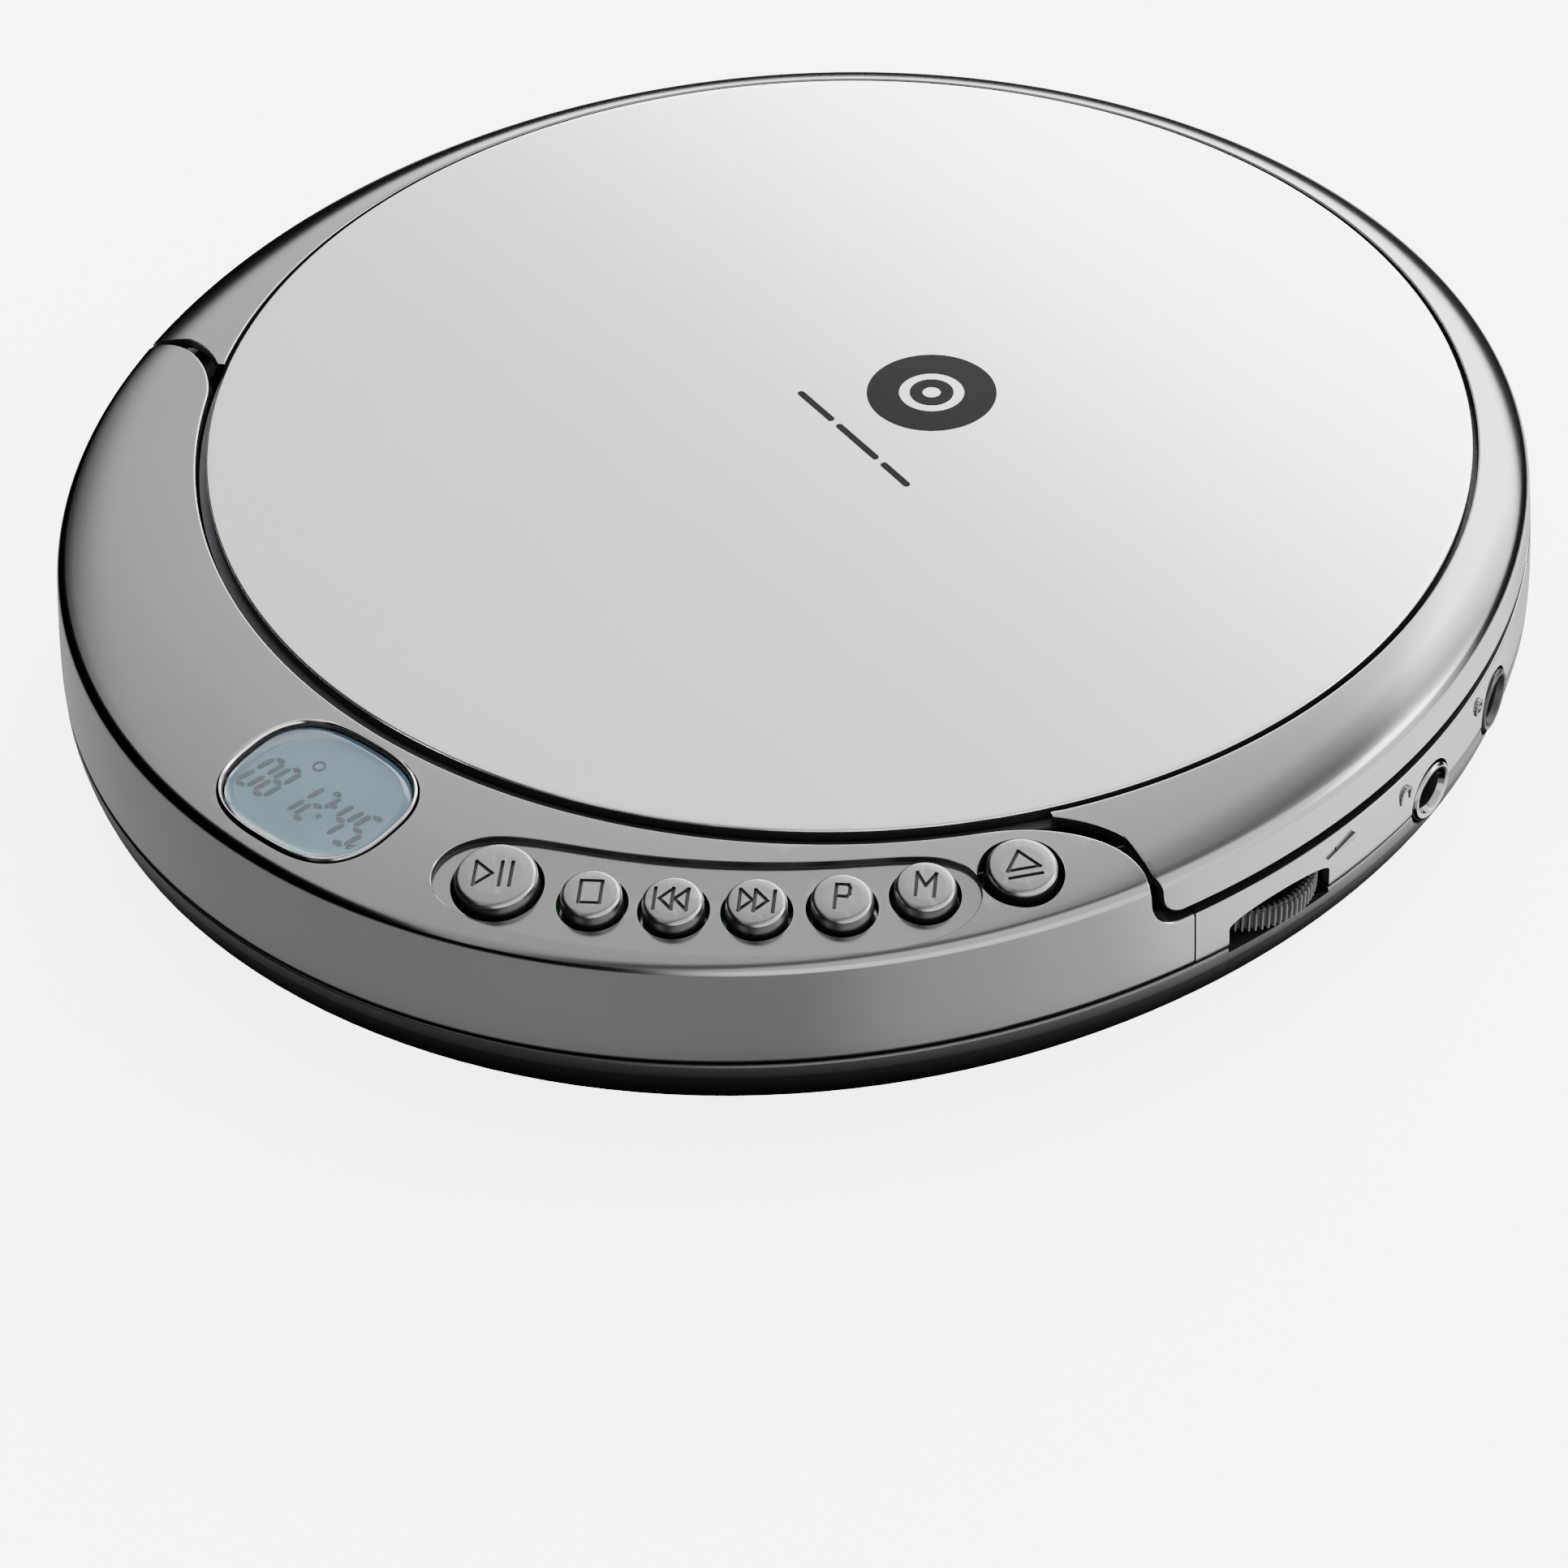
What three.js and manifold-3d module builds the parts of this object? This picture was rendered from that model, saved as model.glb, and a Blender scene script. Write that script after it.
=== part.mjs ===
// Portable CD player. Millimetres, +Z up. The display faces the front, -Y, and the volume wheel and the
// sockets are on the +X side. The origin is the middle of the case, on the surface that the feet stand on.
import * as THREE from "three";
import { mergeVertices } from "three/addons/utils/BufferGeometryUtils.js";
import Module from "manifold-3d";

const wasm = await Module();
wasm.setup();

// ---------------------------------------------------------------- driving dimensions

// Plan outline at the seam: its radius about the spindle, as cosines of the angle from the front.
const OUTLINE = { mean: 70.2, shift: 5.8, oval: 2.4, egg: 0.4 };
const SPINDLE_Y = 6.2;
const SHELL_STEPS = 48;

// Cutting shapes reach past every wall in plan and above everything.
const FAR = 120;
const HIGH = 40;

// Heights of the shells.
const BASE_Z = 1.0;
const FLOOR_TOP_Z = 2.6;
const BOWL_EDGE_Z = 10.1;
const SEAM_Z = 13.8;
const BAND_TOP_Z = 18.1;
const SKIRT_Z = 18.9;
const CREASE_Z = 23.4;
const PANEL_EDGE_Z = 26.0;
const DOME_TOP_Z = 27.5;
const SEAM_GAP = 0.3;
const WALL = 1.6;

// The lid: a round panel in a frame that is open along the front crescent.
const PANEL_R = 60.0;
const PANEL_BOTTOM_Z = 24.7;
const PANEL_BEVEL = 0.8;
const GROOVE = 0.5;
const BACKING_Z = [23.5, 24.4];
const CREASE_INSET = 0.9;
const SKIRT_INSET = 0.35;

// The crescent: from its inner edge to the outline, ending in a quarter ellipse at each side.
const CRESCENT_R = 61.0;
const CRESCENT_INNER_Z = 25.4;
const CRESCENT_START_DEG = 53;
const CRESCENT_END_DEG = 61.6;
const CRESCENT_GAP = 1.2;
const RECESS_DEPTH = 0.35;

// Disc bay.
const WELL_R = 61.6;
const WELL_WALL = 1.4;
const WELL_TOP_Z = 22.5;
const DECK_Z = [18.2, 19.2];
const DISC_SEAT_Z = 20.5;

// Hinge: a barrel across the back, the middle knuckle on the housing and the outer two on the lid.
const HINGE = { y: 65.0, z: 19.6, barrelR: 1.35, half: 9.0, middle: 4.4, pinR: 0.6 };
const RUNNING_GAP = 0.08;

// Latch: a slider in the crescent's inner wall catches a hook that hangs from the lid.
const LATCH_HALF = 1.9;
const LATCH_NOSE = { r: [59.8, 61.0], z: [20.65, 21.4] };
const LATCH_ARM = { r: [60.7, 63.4], z: [19.75, 20.9] };
const LATCH_TAIL = { half: 2.4, r: [62.9, 66.4], z: [19.0, 19.9] };
const LATCH_SLOT = { half: 2.6, reach: 4, z: [19.7, 21.9] };
const HOOK = { half: 1.8, r: [58.1, 59.5], toeR: 60.3, z: [19.8, 20.4] };
const LATCH_SPRING = { r: 66.8, z: 19.6, length: 2.3, coilR: 0.6, wireR: 0.18, turns: 4 };

// Controls on the crescent: angle from the front in degrees, radius from the spindle, cap radius.
const FUNCTION_KEYS = [
  { name: "play_button", deg: 17.2, r: 70.3, capR: 3.6 },
  { name: "stop_button", deg: 24.1, r: 69.7, capR: 2.65 },
  { name: "previous_button", deg: 29.8, r: 69.0, capR: 2.65 },
  { name: "next_button", deg: 35.6, r: 68.3, capR: 2.65 },
  { name: "program_button", deg: 41.6, r: 67.6, capR: 2.65 },
  { name: "mode_button", deg: 47.6, r: 66.7, capR: 2.65 },
];
const OPEN_KEY = { name: "open_button", deg: 54.8, r: 66.0, capR: 3.05 };
const KEY_FIELD = { before: 4.6, after: 4.0, outward: [0.2, 0.3], half: [5.2, 4.7], sharpness: 7 };
const KEY_GAP = 0.25;
const KEY_PROUD = 1.3;
const OPEN_KEY_PROUD = 1.5;
const OPEN_KEY_SEAT = { margin: 0.9, shoulder: -0.6, lip: 0.1 };
const KEY_FLANGE = { top: -1.9, bottom: -2.3 };
const KEY_STEM_R = 1.0;
const KEY_HOLE_DEPTH = 8;
const SWITCH_HALF = 1.7;

// Display.
const DISPLAY_GAP = 0.3;
const BEZEL_Z = [-1.7, 0.2];
const WINDOW_Z = [-1.2, 0.1];
const DISPLAY = { deg: 0.6, r: 69.6, halfX: 8.9, halfY: 7.0, power: 2.7 };
const BEZEL_WIDTH = 0.7;
const MODULE = { halfX: 7.9, halfY: 6.0, z: [-3.6, -2.0] };

// Side controls: angle from the front in degrees, height of the axis.
const SIDE_PANEL_DEG = [67, 118];
const WHEEL = { deg: 74.8, radius: 7.3, proud: 0.6, z: [13.1, 15.4], ridges: 28 };
const WHEEL_HUB = { r: 2.6, below: 0.2, above: 0.4 };
const POT = { halfX: 4, y: [-1.4, 5], under: 0.3, gap: 0.6 };
const WHEEL_SLOT = { half: 6.0, bottom: 12.8, shoulder: 15.5, top: 16.7 };
const PHONES = { deg: 92.9, z: 13.8, ringR: 3.1, boreR: 1.8 };
const POWER = { deg: 105, z: 14.0, ringR: 3.0, boreR: 2.1 };
const POWER_PIN_R = 0.6;
const SOCKET_BODY = { half: 4.1, front: 3.2, back: 13, below: 4.0, above: 2.7 };
const SOCKET_DEPTH = 11.5;
const SHAFT_R = 1.5;

// Battery bay: two AA cells side by side under the disc, behind the spindle.
const CELL = { r: 7.1, length: 50.0, z: 10.0, y: [20.1, 35.7] };
const BAY = { halfX: 29.6, y: [12.6, 43.4], top: 17.3, wall: 1.6, roof: 0.6, sideWall: 3.4 };
const DOOR = { halfX: 30.1, tongueHalfX: 31.2, frontY: 12.9, z: [1.0, 1.9], tongueZ: [1.75, 2.45] };
const DOOR_GRIP = { half: 7, y: 50, width: 0.8, pitch: 2, depth: 0.35, count: 3 };
const DOOR_FLOOR = { rearY: 57, top: 4.4 };
const STRIP = { half: 5, thickness: 0.5 };

// Mechanism.
const CHASSIS_Z = [15.3, 16.3];
const CHASSIS = { x: [-24, 34], y: [-69, 10.4], windowHalf: 14.6, windowY: [-66.2, -13.6] };
const CHASSIS_CORNER = { x: 24.6, y: -42 };
const ROD = { x: 12, z: 13.7, r: 1.0, y: [-68.2, -11.6] };
const LUG = { half: 1.9, bottom: 12.2 };
const SLED = { y: [-33, -17], z: [12.5, 17.8], halfX: 10.5, upperHalfX: 7, lensY: -25, bushR: 2.0 };
const RACK = { depth: 0.75, back: 1.0, y: [-32.5, 4], firstTooth: -2, teeth: 19 };
const LENS = { r: 2.5, wellR: 2.9, wellBottom: 15.9 };
const TRAY_WINDOW = { half: 11.5, front: -57, lensHalf: 4, lensFront: -59.9 };
const HUB_HOLE_R = 14.8;
const HOOK_HOLE = { half: 2.4, r: [57.4, 61.2] };
const GEAR_Z = [16.6, 17.6];
const GEAR_MODULE = 0.6;
const DRIVE_TEETH = 22;
const PINION_TEETH = 10;
const RACK_PITCH_X = 13.6;
const GEAR_BACKLASH = 0.05;
const DRIVE_Y = -29;
const MOTOR_TOP_Z = 15.0;
const MOTOR_BOTTOM_Z = 9.2;
const BOARD_Z = [7.0, 8.0];
const BOARD_INSET = 7.6;
const BOARD_CUTS = [
  [-34.6, 34.6, 10.2, FAR],
  [-FAR, FAR, 25, FAR],
  [-FAR, -34, 8, FAR],
];
const KEY_BOARD_Z = [18.8, 19.6];
const KEY_BOARD = { inner: 2.4, inset: 4.2, deg: [-13, 50.6], switchHeight: 0.7 };
const GEAR_POST_R = 1.0;
const SPINDLE_MOTOR = { r: 9.5, boreR: 1.3 };
const SLED_MOTOR = { r: 5, boreR: 1.2 };
const MOTOR_BORE_DEPTH = 2;

// Screws up through the bottom case, rubber feet, and dampers under the chassis.
const SCREW = { headR: 2.5, headZ: [1.3, 2.9], shankR: 1.1, taperZ: 15.2, tipZ: 16, bossR: 3.2, bossTop: 12 };
const SCREW_HOLE = { headR: 2.8, headTop: 3.2, shankR: 1.4 };
const TRAY_POST = { r: 2.8, bottom: 12.3, boreR: 1.35, boreTop: 17 };
const FOOT = { r: 4.0, height: 0.85, edge: 0.4 };
const DAMPER = { r: 3, waistR: 2.3, flange: 0.9, taper: 0.3, height: 2.9, gap: 0.1, bossR: 2.6 };

// Places of the screws, feet and dampers in plan, from the spindle.
const SCREWS = [[44, 16], [-44, 16], [40, -34], [-40, -34]];
const FEET = [[38, 29], [-38, 29], [38, -44], [-38, -44]];
const DAMPERS = [[-19, 4.5], [29, 4.5], [-20, -61], [20, -61]];

// ---------------------------------------------------------------- materials

const FINISH = {
  silver: { color: 0xc4c5c7, roughness: 0.18, metalness: 0.9 },
  mirror: { color: 0xd9d9da, roughness: 0.1, metalness: 0.95 },
  gunmetal: { color: 0x55575a, roughness: 0.35, metalness: 0.7 },
  satin: { color: 0xa3a4a6, roughness: 0.35, metalness: 0.8 },
  black: { color: 0x151517, roughness: 0.5, metalness: 0.0 },
  charcoal: { color: 0x2b2c2f, roughness: 0.6, metalness: 0.0 },
  rubber: { color: 0x1c1c1c, roughness: 0.85, metalness: 0.0 },
  steel: { color: 0xb8babd, roughness: 0.25, metalness: 1.0 },
  brass: { color: 0xc9a961, roughness: 0.3, metalness: 1.0 },
  board: { color: 0x1d5a37, roughness: 0.55, metalness: 0.1 },
  clear: { color: 0xd6e6ee, roughness: 0.05, metalness: 0.0 },
  display: { color: 0x8fa9b3, roughness: 0.3, metalness: 0.0 },
  nylon: { color: 0xe8e6de, roughness: 0.5, metalness: 0.0 },
  lens: { color: 0x3a4c7a, roughness: 0.05, metalness: 0.0 },
  wrap: { color: 0x2f6f9f, roughness: 0.3, metalness: 0.3 },
};

// ---------------------------------------------------------------- solids

const rad = THREE.MathUtils.degToRad;

// A closed geometry as a manifold solid, turned outward if its faces point in.
function solid(shape) {
  if (!shape.isBufferGeometry) return shape;
  const source = shape.index ? shape.toNonIndexed() : shape;
  const bare = new THREE.BufferGeometry();
  bare.setAttribute("position", source.getAttribute("position"));
  const merged = mergeVertices(bare, 1e-4);
  const vertProperties = merged.attributes.position.array;
  const triVerts = new Uint32Array(merged.index.array);
  const made = new wasm.Manifold(new wasm.Mesh({ numProp: 3, vertProperties, triVerts }));
  if (made.volume() > 0) return made;
  for (let i = 0; i < triVerts.length; i += 3) {
    [triVerts[i + 1], triVerts[i + 2]] = [triVerts[i + 2], triVerts[i + 1]];
  }
  return new wasm.Manifold(new wasm.Mesh({ numProp: 3, vertProperties, triVerts }));
}

const join = (first, ...others) => others.reduce((sum, other) => sum.add(solid(other)), solid(first));
const cut = (base, ...tools) => tools.reduce((left, tool) => left.subtract(solid(tool)), solid(base));
const common = (a, b) => solid(a).intersect(solid(b));

const player = new THREE.Group();
player.position.y = SPINDLE_Y;

// Adds one named piece, made of its own solid and its own material.
function piece(name, shape, finish, parent = player) {
  const mesh = solid(shape).getMesh();
  const positions = new Float32Array(mesh.numVert * 3);
  for (let i = 0; i < mesh.numVert; i++) {
    positions.set(mesh.vertProperties.subarray(i * mesh.numProp, i * mesh.numProp + 3), i * 3);
  }
  const geometry = new THREE.BufferGeometry();
  geometry.setAttribute("position", new THREE.BufferAttribute(positions, 3));
  geometry.setIndex(new THREE.BufferAttribute(mesh.triVerts, 1));
  geometry.computeVertexNormals();
  const made = new THREE.Mesh(geometry, new THREE.MeshStandardMaterial(finish));
  made.name = name;
  parent.add(made);
  return made;
}

function box(x0, x1, y0, y1, z0, z1) {
  return new THREE.BoxGeometry(x1 - x0, y1 - y0, z1 - z0)
    .translate((x0 + x1) / 2, (y0 + y1) / 2, (z0 + z1) / 2);
}

// A cylinder along Z.
function post(r, z0, z1, x = 0, y = 0, sides = 24) {
  return new THREE.CylinderGeometry(r, r, z1 - z0, sides)
    .rotateX(Math.PI / 2)
    .translate(x, y, (z0 + z1) / 2);
}

// A cylinder along Y, from y0 to y1.
function bar(r, y0, y1, x, z, sides = 16) {
  return new THREE.CylinderGeometry(r, r, y1 - y0, sides).translate(x, (y0 + y1) / 2, z);
}

// A solid turned about Z from [radius, height] points.
function turned(points, sides = 36) {
  const profile = points.map(([r, z]) => new THREE.Vector2(r, z));
  return new THREE.LatheGeometry(profile, sides).rotateX(Math.PI / 2);
}

// The same along X.
function crossBar(r, x0, x1, y, z, sides = 16) {
  return bar(r, -x1, -x0, 0, 0, sides).rotateZ(Math.PI / 2).translate(0, y, z);
}

// A flat outline raised from z0 to z1.
function plate(shape, z0, z1, curveSegments = 12) {
  return new THREE.ExtrudeGeometry(shape, { depth: z1 - z0, bevelEnabled: false, curveSegments })
    .translate(0, 0, z0);
}

// ---------------------------------------------------------------- the plan outline

// t is the angle from the front, -Y, towards +X.
function outlineRadius(t) {
  const { mean, shift, oval, egg } = OUTLINE;
  return mean + shift * Math.cos(t) + oval * Math.cos(2 * t) + egg * Math.cos(3 * t);
}

const planPoint = (t, r) => new THREE.Vector2(r * Math.sin(t), -r * Math.cos(t));

// Profile points of a shell: rim points keep a distance from the outline, ring points are true circles.
const rim = (offset, z) => (t) => [outlineRadius(t) + offset, z];
const ring = (r, z) => () => [r, z];

// A shell whose profile changes round the spindle as its rim points follow the outline.
function shell(profile) {
  const still = profile.map((at) => new THREE.Vector2(...at(0)));
  const geometry = new THREE.LatheGeometry(still, SHELL_STEPS);
  const position = geometry.getAttribute("position");
  for (let step = 0; step <= SHELL_STEPS; step++) {
    const t = ((step % SHELL_STEPS) / SHELL_STEPS) * 2 * Math.PI;
    profile.forEach((at, i) => {
      const [r, z] = at(t);
      const plan = planPoint(t, r);
      position.setXYZ(step * profile.length + i, plan.x, plan.y, z);
    });
  }
  return geometry;
}

// A closed shell: the profile returns to its first point.
const closedShell = (profile) => shell([...profile, profile[0]]);

// The upright wedge between two angles, given in degrees from the front.
function wedge(fromDeg, toDeg) {
  const steps = Math.ceil((toDeg - fromDeg) / 15);
  const points = [new THREE.Vector2(0, 0)];
  for (let i = 0; i <= steps; i++) {
    points.push(planPoint(rad(fromDeg + ((toDeg - fromDeg) * i) / steps), FAR));
  }
  return plate(new THREE.Shape(points), 0, HIGH);
}

// The plan of the crescent, grown by a gap on the lid's side.
function crescentPlan(grow) {
  const inner = CRESCENT_R - grow;
  const start = rad(CRESCENT_START_DEG);
  const end = rad(CRESCENT_END_DEG) + grow / outlineRadius(rad(CRESCENT_END_DEG));
  const outer = outlineRadius(end);
  const tip = [];
  const tipSteps = 8;
  for (let i = 0; i <= tipSteps; i++) {
    const u = (i / tipSteps) * (Math.PI / 2);
    tip.push([start + (end - start) * Math.sin(u), inner + (outer - inner) * (1 - Math.cos(u))]);
  }
  tip.push([end, FAR]);
  const arcSteps = 30;
  const arc = [];
  for (let i = 1; i < arcSteps; i++) arc.push([-start + (2 * start * i) / arcSteps, inner]);
  const left = tip.map(([t, r]) => [-t, r]).reverse();
  const outside = [40, 20, 0, -20, -40].map((deg) => [rad(deg), FAR]);
  const points = [...left, ...arc, ...tip, ...outside].map(([t, r]) => planPoint(t, r));
  return plate(new THREE.Shape(points), 0, HIGH);
}

// Height of the crescent's top surface, and how far it leans outward.
function crescentTop(t, r) {
  const width = outlineRadius(t) - CREASE_INSET - CRESCENT_R;
  const slope = (CRESCENT_INNER_Z - CREASE_Z) / width;
  return { z: CRESCENT_INNER_Z - (r - CRESCENT_R) * slope, lean: Math.atan(slope) };
}

// The frame of a control on the crescent: local Z leaves the surface, local Y points to the spindle.
function controlFrame(deg, r) {
  const t = rad(deg);
  const top = crescentTop(t, r);
  return new THREE.Matrix4()
    .makeRotationZ(t)
    .multiply(new THREE.Matrix4().makeTranslation(0, -r, top.z))
    .multiply(new THREE.Matrix4().makeRotationX(top.lean));
}

// The frame of something on the side wall: local -Y leaves the wall, the origin is on the outline.
function sideFrame(deg) {
  const t = rad(deg);
  return new THREE.Matrix4()
    .makeRotationZ(t)
    .multiply(new THREE.Matrix4().makeTranslation(0, -outlineRadius(t), 0));
}

// A group placed by a matrix.
function groupAt(matrix) {
  const group = new THREE.Group();
  group.applyMatrix4(matrix);
  player.add(group);
  return group;
}

// ---------------------------------------------------------------- bottom case and battery bay

// The curve of the bowl from its flat base to its widest point, moved inward by an inset.
const bowlCurve = (inset) => [
  rim(-13.5 - inset, BASE_Z + inset),
  rim(-7.5 - inset, 4.2 + inset),
  rim(-3.0 - inset, 7.6 + inset),
  rim(-0.5 - inset, BOWL_EDGE_Z),
];

// The space inside the bowl's curve moved inward by an inset, up to the roof of the battery bay.
function bowlSpace(inset) {
  const top = BAY.top + BAY.roof;
  const wallInset = WALL + 0.6;
  return shell([
    ring(0, BASE_Z + inset),
    ...bowlCurve(inset),
    rim(-wallInset, SEAM_Z - 1),
    rim(-wallInset, top),
    ring(0, top),
  ]);
}

// Holes for the sockets and the volume wheel, shared by the bottom case and the side panel.
function sideOpenings() {
  const reach = 4;
  const socket = (place) =>
    bar(place.ringR + 0.3, -reach, reach, 0, place.z, 24).applyMatrix4(sideFrame(place.deg));
  const slot = new THREE.Shape();
  const { half, bottom, shoulder, top } = WHEEL_SLOT;
  slot.moveTo(-half, bottom);
  slot.lineTo(half, bottom);
  slot.lineTo(half, shoulder);
  slot.absellipse(0, shoulder, half, top - shoulder, 0, Math.PI, false);
  slot.lineTo(-half, bottom);
  const wheelSlot = plate(slot, -reach, reach, 8).rotateX(Math.PI / 2).applyMatrix4(sideFrame(WHEEL.deg));
  return [socket(PHONES), socket(POWER), wheelSlot];
}

function bottomCase() {
  const top = SEAM_Z - SEAM_GAP / 2;
  const bowl = shell([
    ring(0, BASE_Z),
    ...bowlCurve(0),
    rim(0, top),
    rim(-WALL, top),
    rim(-WALL - 0.5, BOWL_EDGE_Z + 0.3),
    rim(-4.4, 8.4),
    rim(-8.6, 5.4),
    rim(-14, FLOOR_TOP_Z),
    ring(0, FLOOR_TOP_Z),
  ]);
  const bayOuter = BAY.halfX + BAY.sideWall;
  const insideZ = BASE_Z + 0.2;
  const damperSeat = CHASSIS_Z[0] - DAMPER.gap - DAMPER.height - DAMPER.gap;
  const inner = join(
    box(-bayOuter, bayOuter, BAY.y[0] - BAY.wall, BAY.y[1] + BAY.wall, insideZ, BAY.top + BAY.roof),
    box(-bayOuter, bayOuter, BAY.y[1], DOOR_FLOOR.rearY, insideZ, DOOR_FLOOR.top),
    ...SCREWS.map(([x, y]) => post(SCREW.bossR, insideZ, SCREW.bossTop, x, y)),
    ...DAMPERS.map(([x, y]) => post(DAMPER.bossR, insideZ, damperSeat, x, y)),
  );
  const side = 0.4;
  const over = 0.3;
  const coverHalf = DOOR.halfX + side;
  const tongueHalf = DOOR.tongueHalfX + side;
  const doorway = [
    box(-coverHalf, coverHalf, BAY.y[0], FAR, 0, DOOR.z[1] + over),
    box(-tongueHalf, tongueHalf, BAY.y[0], FAR, DOOR.tongueZ[0] - over, DOOR.tongueZ[1] + over),
    box(-BAY.halfX, BAY.halfX, BAY.y[0], BAY.y[1], 0, BAY.top),
  ];
  const screwHoles = SCREWS.flatMap(([x, y]) => [
    post(SCREW_HOLE.headR, 0, SCREW_HOLE.headTop, x, y),
    post(SCREW_HOLE.shankR, 0, SCREW.bossTop + 1, x, y, 16),
  ]);
  const fittings = common(inner, bowlSpace(0.4));
  return cut(join(bowl, fittings), ...doorway, ...screwHoles, ...sideOpenings());
}

// The door slides out to the rear. Its outside follows the curve of the bowl.
function batteryDoor() {
  const cover = box(-DOOR.halfX, DOOR.halfX, DOOR.frontY, FAR, ...DOOR.z);
  const tongues = box(-DOOR.tongueHalfX, DOOR.tongueHalfX, DOOR.frontY, FAR, ...DOOR.tongueZ);
  const { half, y, width, pitch, depth, count } = DOOR_GRIP;
  const grips = [];
  for (let i = 0; i < count; i++) {
    grips.push(box(-half, half, y - width - i * pitch, y - i * pitch, 0, DOOR.z[0] + depth));
  }
  return cut(common(join(cover, tongues), bowlSpace(0)), ...grips);
}

// An AA cell along X; sign is the side of its positive nub.
function cell(y, sign) {
  const half = CELL.length / 2;
  const edge = 0.5;
  const nubR = 2.7;
  const shoulder = half - 1.4;
  const profile = [
    [0, -half],
    [CELL.r - edge, -half],
    [CELL.r, -half + edge],
    [CELL.r, shoulder - edge],
    [CELL.r - edge, shoulder],
    [nubR, shoulder],
    [nubR, half],
    [0, half],
  ];
  return turned(profile, 20).rotateY((sign * Math.PI) / 2).translate(0, y, CELL.z);
}

// A coil spring along +X from x0, as a swept wire.
function coil(x0, length, coilR, wireR, turns, sides = 5) {
  class Helix extends THREE.Curve {
    getPoint(s, target = new THREE.Vector3()) {
      const angle = 2 * Math.PI * turns * s;
      return target.set(x0 + length * s, coilR * Math.cos(angle), coilR * Math.sin(angle));
    }
  }
  const corners = [];
  for (let i = 0; i < sides; i++) {
    const a = (2 * Math.PI * i) / sides;
    corners.push(new THREE.Vector2(wireR * Math.cos(a), wireR * Math.sin(a)));
  }
  const steps = Math.round(turns * 8);
  const options = { steps, extrudePath: new Helix(), bevelEnabled: false };
  return new THREE.ExtrudeGeometry(new THREE.Shape(corners), options);
}

// A contact strip at one end of the bay, with a spring or a flat stud for each of its cells.
function contact(side, cells) {
  const wallX = BAY.halfX - 0.3;
  const faceX = wallX - STRIP.thickness;
  const cellX = CELL.length / 2 + 0.3;
  const ys = cells.map((c) => c.y);
  const strip = box(
    faceX,
    wallX,
    Math.min(...ys) - STRIP.half,
    Math.max(...ys) + STRIP.half,
    CELL.z - STRIP.half,
    CELL.z + STRIP.half,
  );
  const stud = (y) => crossBar(3, cellX, faceX + 0.1, y, CELL.z);
  const spring = (y) => coil(cellX + 0.4, faceX - cellX - 0.2, 3, 0.4, 3).translate(0, y, CELL.z);
  const ends = cells.map((c) => (c.spring ? spring(c.y) : stud(c.y)));
  return join(...[strip, ...ends].map((shape) => shape.scale(side, 1, 1)));
}

function foot() {
  const { r, height, edge } = FOOT;
  return turned([[0, 0], [r - edge, 0], [r, edge], [r, height], [0, height]], 18);
}

function caseScrew() {
  const [bottom, top] = SCREW.headZ;
  const edge = 0.3;
  const slotHalf = 1.4;
  const slotTop = bottom + 0.8;
  const shank = turned([
    [0, bottom],
    [SCREW.headR - edge, bottom],
    [SCREW.headR, bottom + edge],
    [SCREW.headR, top],
    [SCREW.shankR, top],
    [SCREW.shankR, SCREW.taperZ],
    [0, SCREW.tipZ],
  ], 12);
  const acrossX = box(-slotHalf, slotHalf, -edge, edge, 0, slotTop);
  const acrossY = box(-edge, edge, -slotHalf, slotHalf, 0, slotTop);
  return cut(shank, acrossX, acrossY);
}

// ---------------------------------------------------------------- upper housing

const bandProfile = (inset, z0, z1) => [rim(0, z0), rim(-0.3, z1), rim(-0.3 - inset, z1), rim(-inset, z0)];

// The pill-shaped field of the six function keys, in plan.
function keyFieldPlan() {
  const first = FUNCTION_KEYS[0];
  const last = FUNCTION_KEYS[FUNCTION_KEYS.length - 1];
  const { before, after, outward, sharpness } = KEY_FIELD;
  const left = first.deg - before;
  const right = last.deg + after;
  const steps = 14;
  const innerEdge = [];
  const outerEdge = [];
  for (let i = 0; i <= steps; i++) {
    const share = i / steps;
    const deg = THREE.MathUtils.lerp(left, right, share);
    const middle = THREE.MathUtils.lerp(first.r + outward[0], last.r + outward[1], share);
    const roundEnd = Math.sqrt(1 - Math.pow(Math.abs(2 * share - 1), sharpness));
    const half = THREE.MathUtils.lerp(...KEY_FIELD.half, share) * roundEnd;
    innerEdge.push(planPoint(rad(deg), middle - half));
    if (i > 0 && i < steps) outerEdge.push(planPoint(rad(deg), middle + half));
  }
  return plate(new THREE.Shape([...innerEdge, ...outerEdge.reverse()]), 0, HIGH);
}

// The display's rounded outline, grown by a margin, in its own frame.
function displayShape(grow) {
  const points = [];
  const steps = 36;
  const squared = (wave) => Math.sign(wave) * Math.pow(Math.abs(wave), 2 / DISPLAY.power);
  for (let i = 0; i < steps; i++) {
    const a = (2 * Math.PI * i) / steps;
    const x = squared(Math.cos(a)) * (DISPLAY.halfX + grow);
    const y = squared(Math.sin(a)) * (DISPLAY.halfY + grow);
    points.push(new THREE.Vector2(x, y));
  }
  return new THREE.Shape(points);
}

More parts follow.
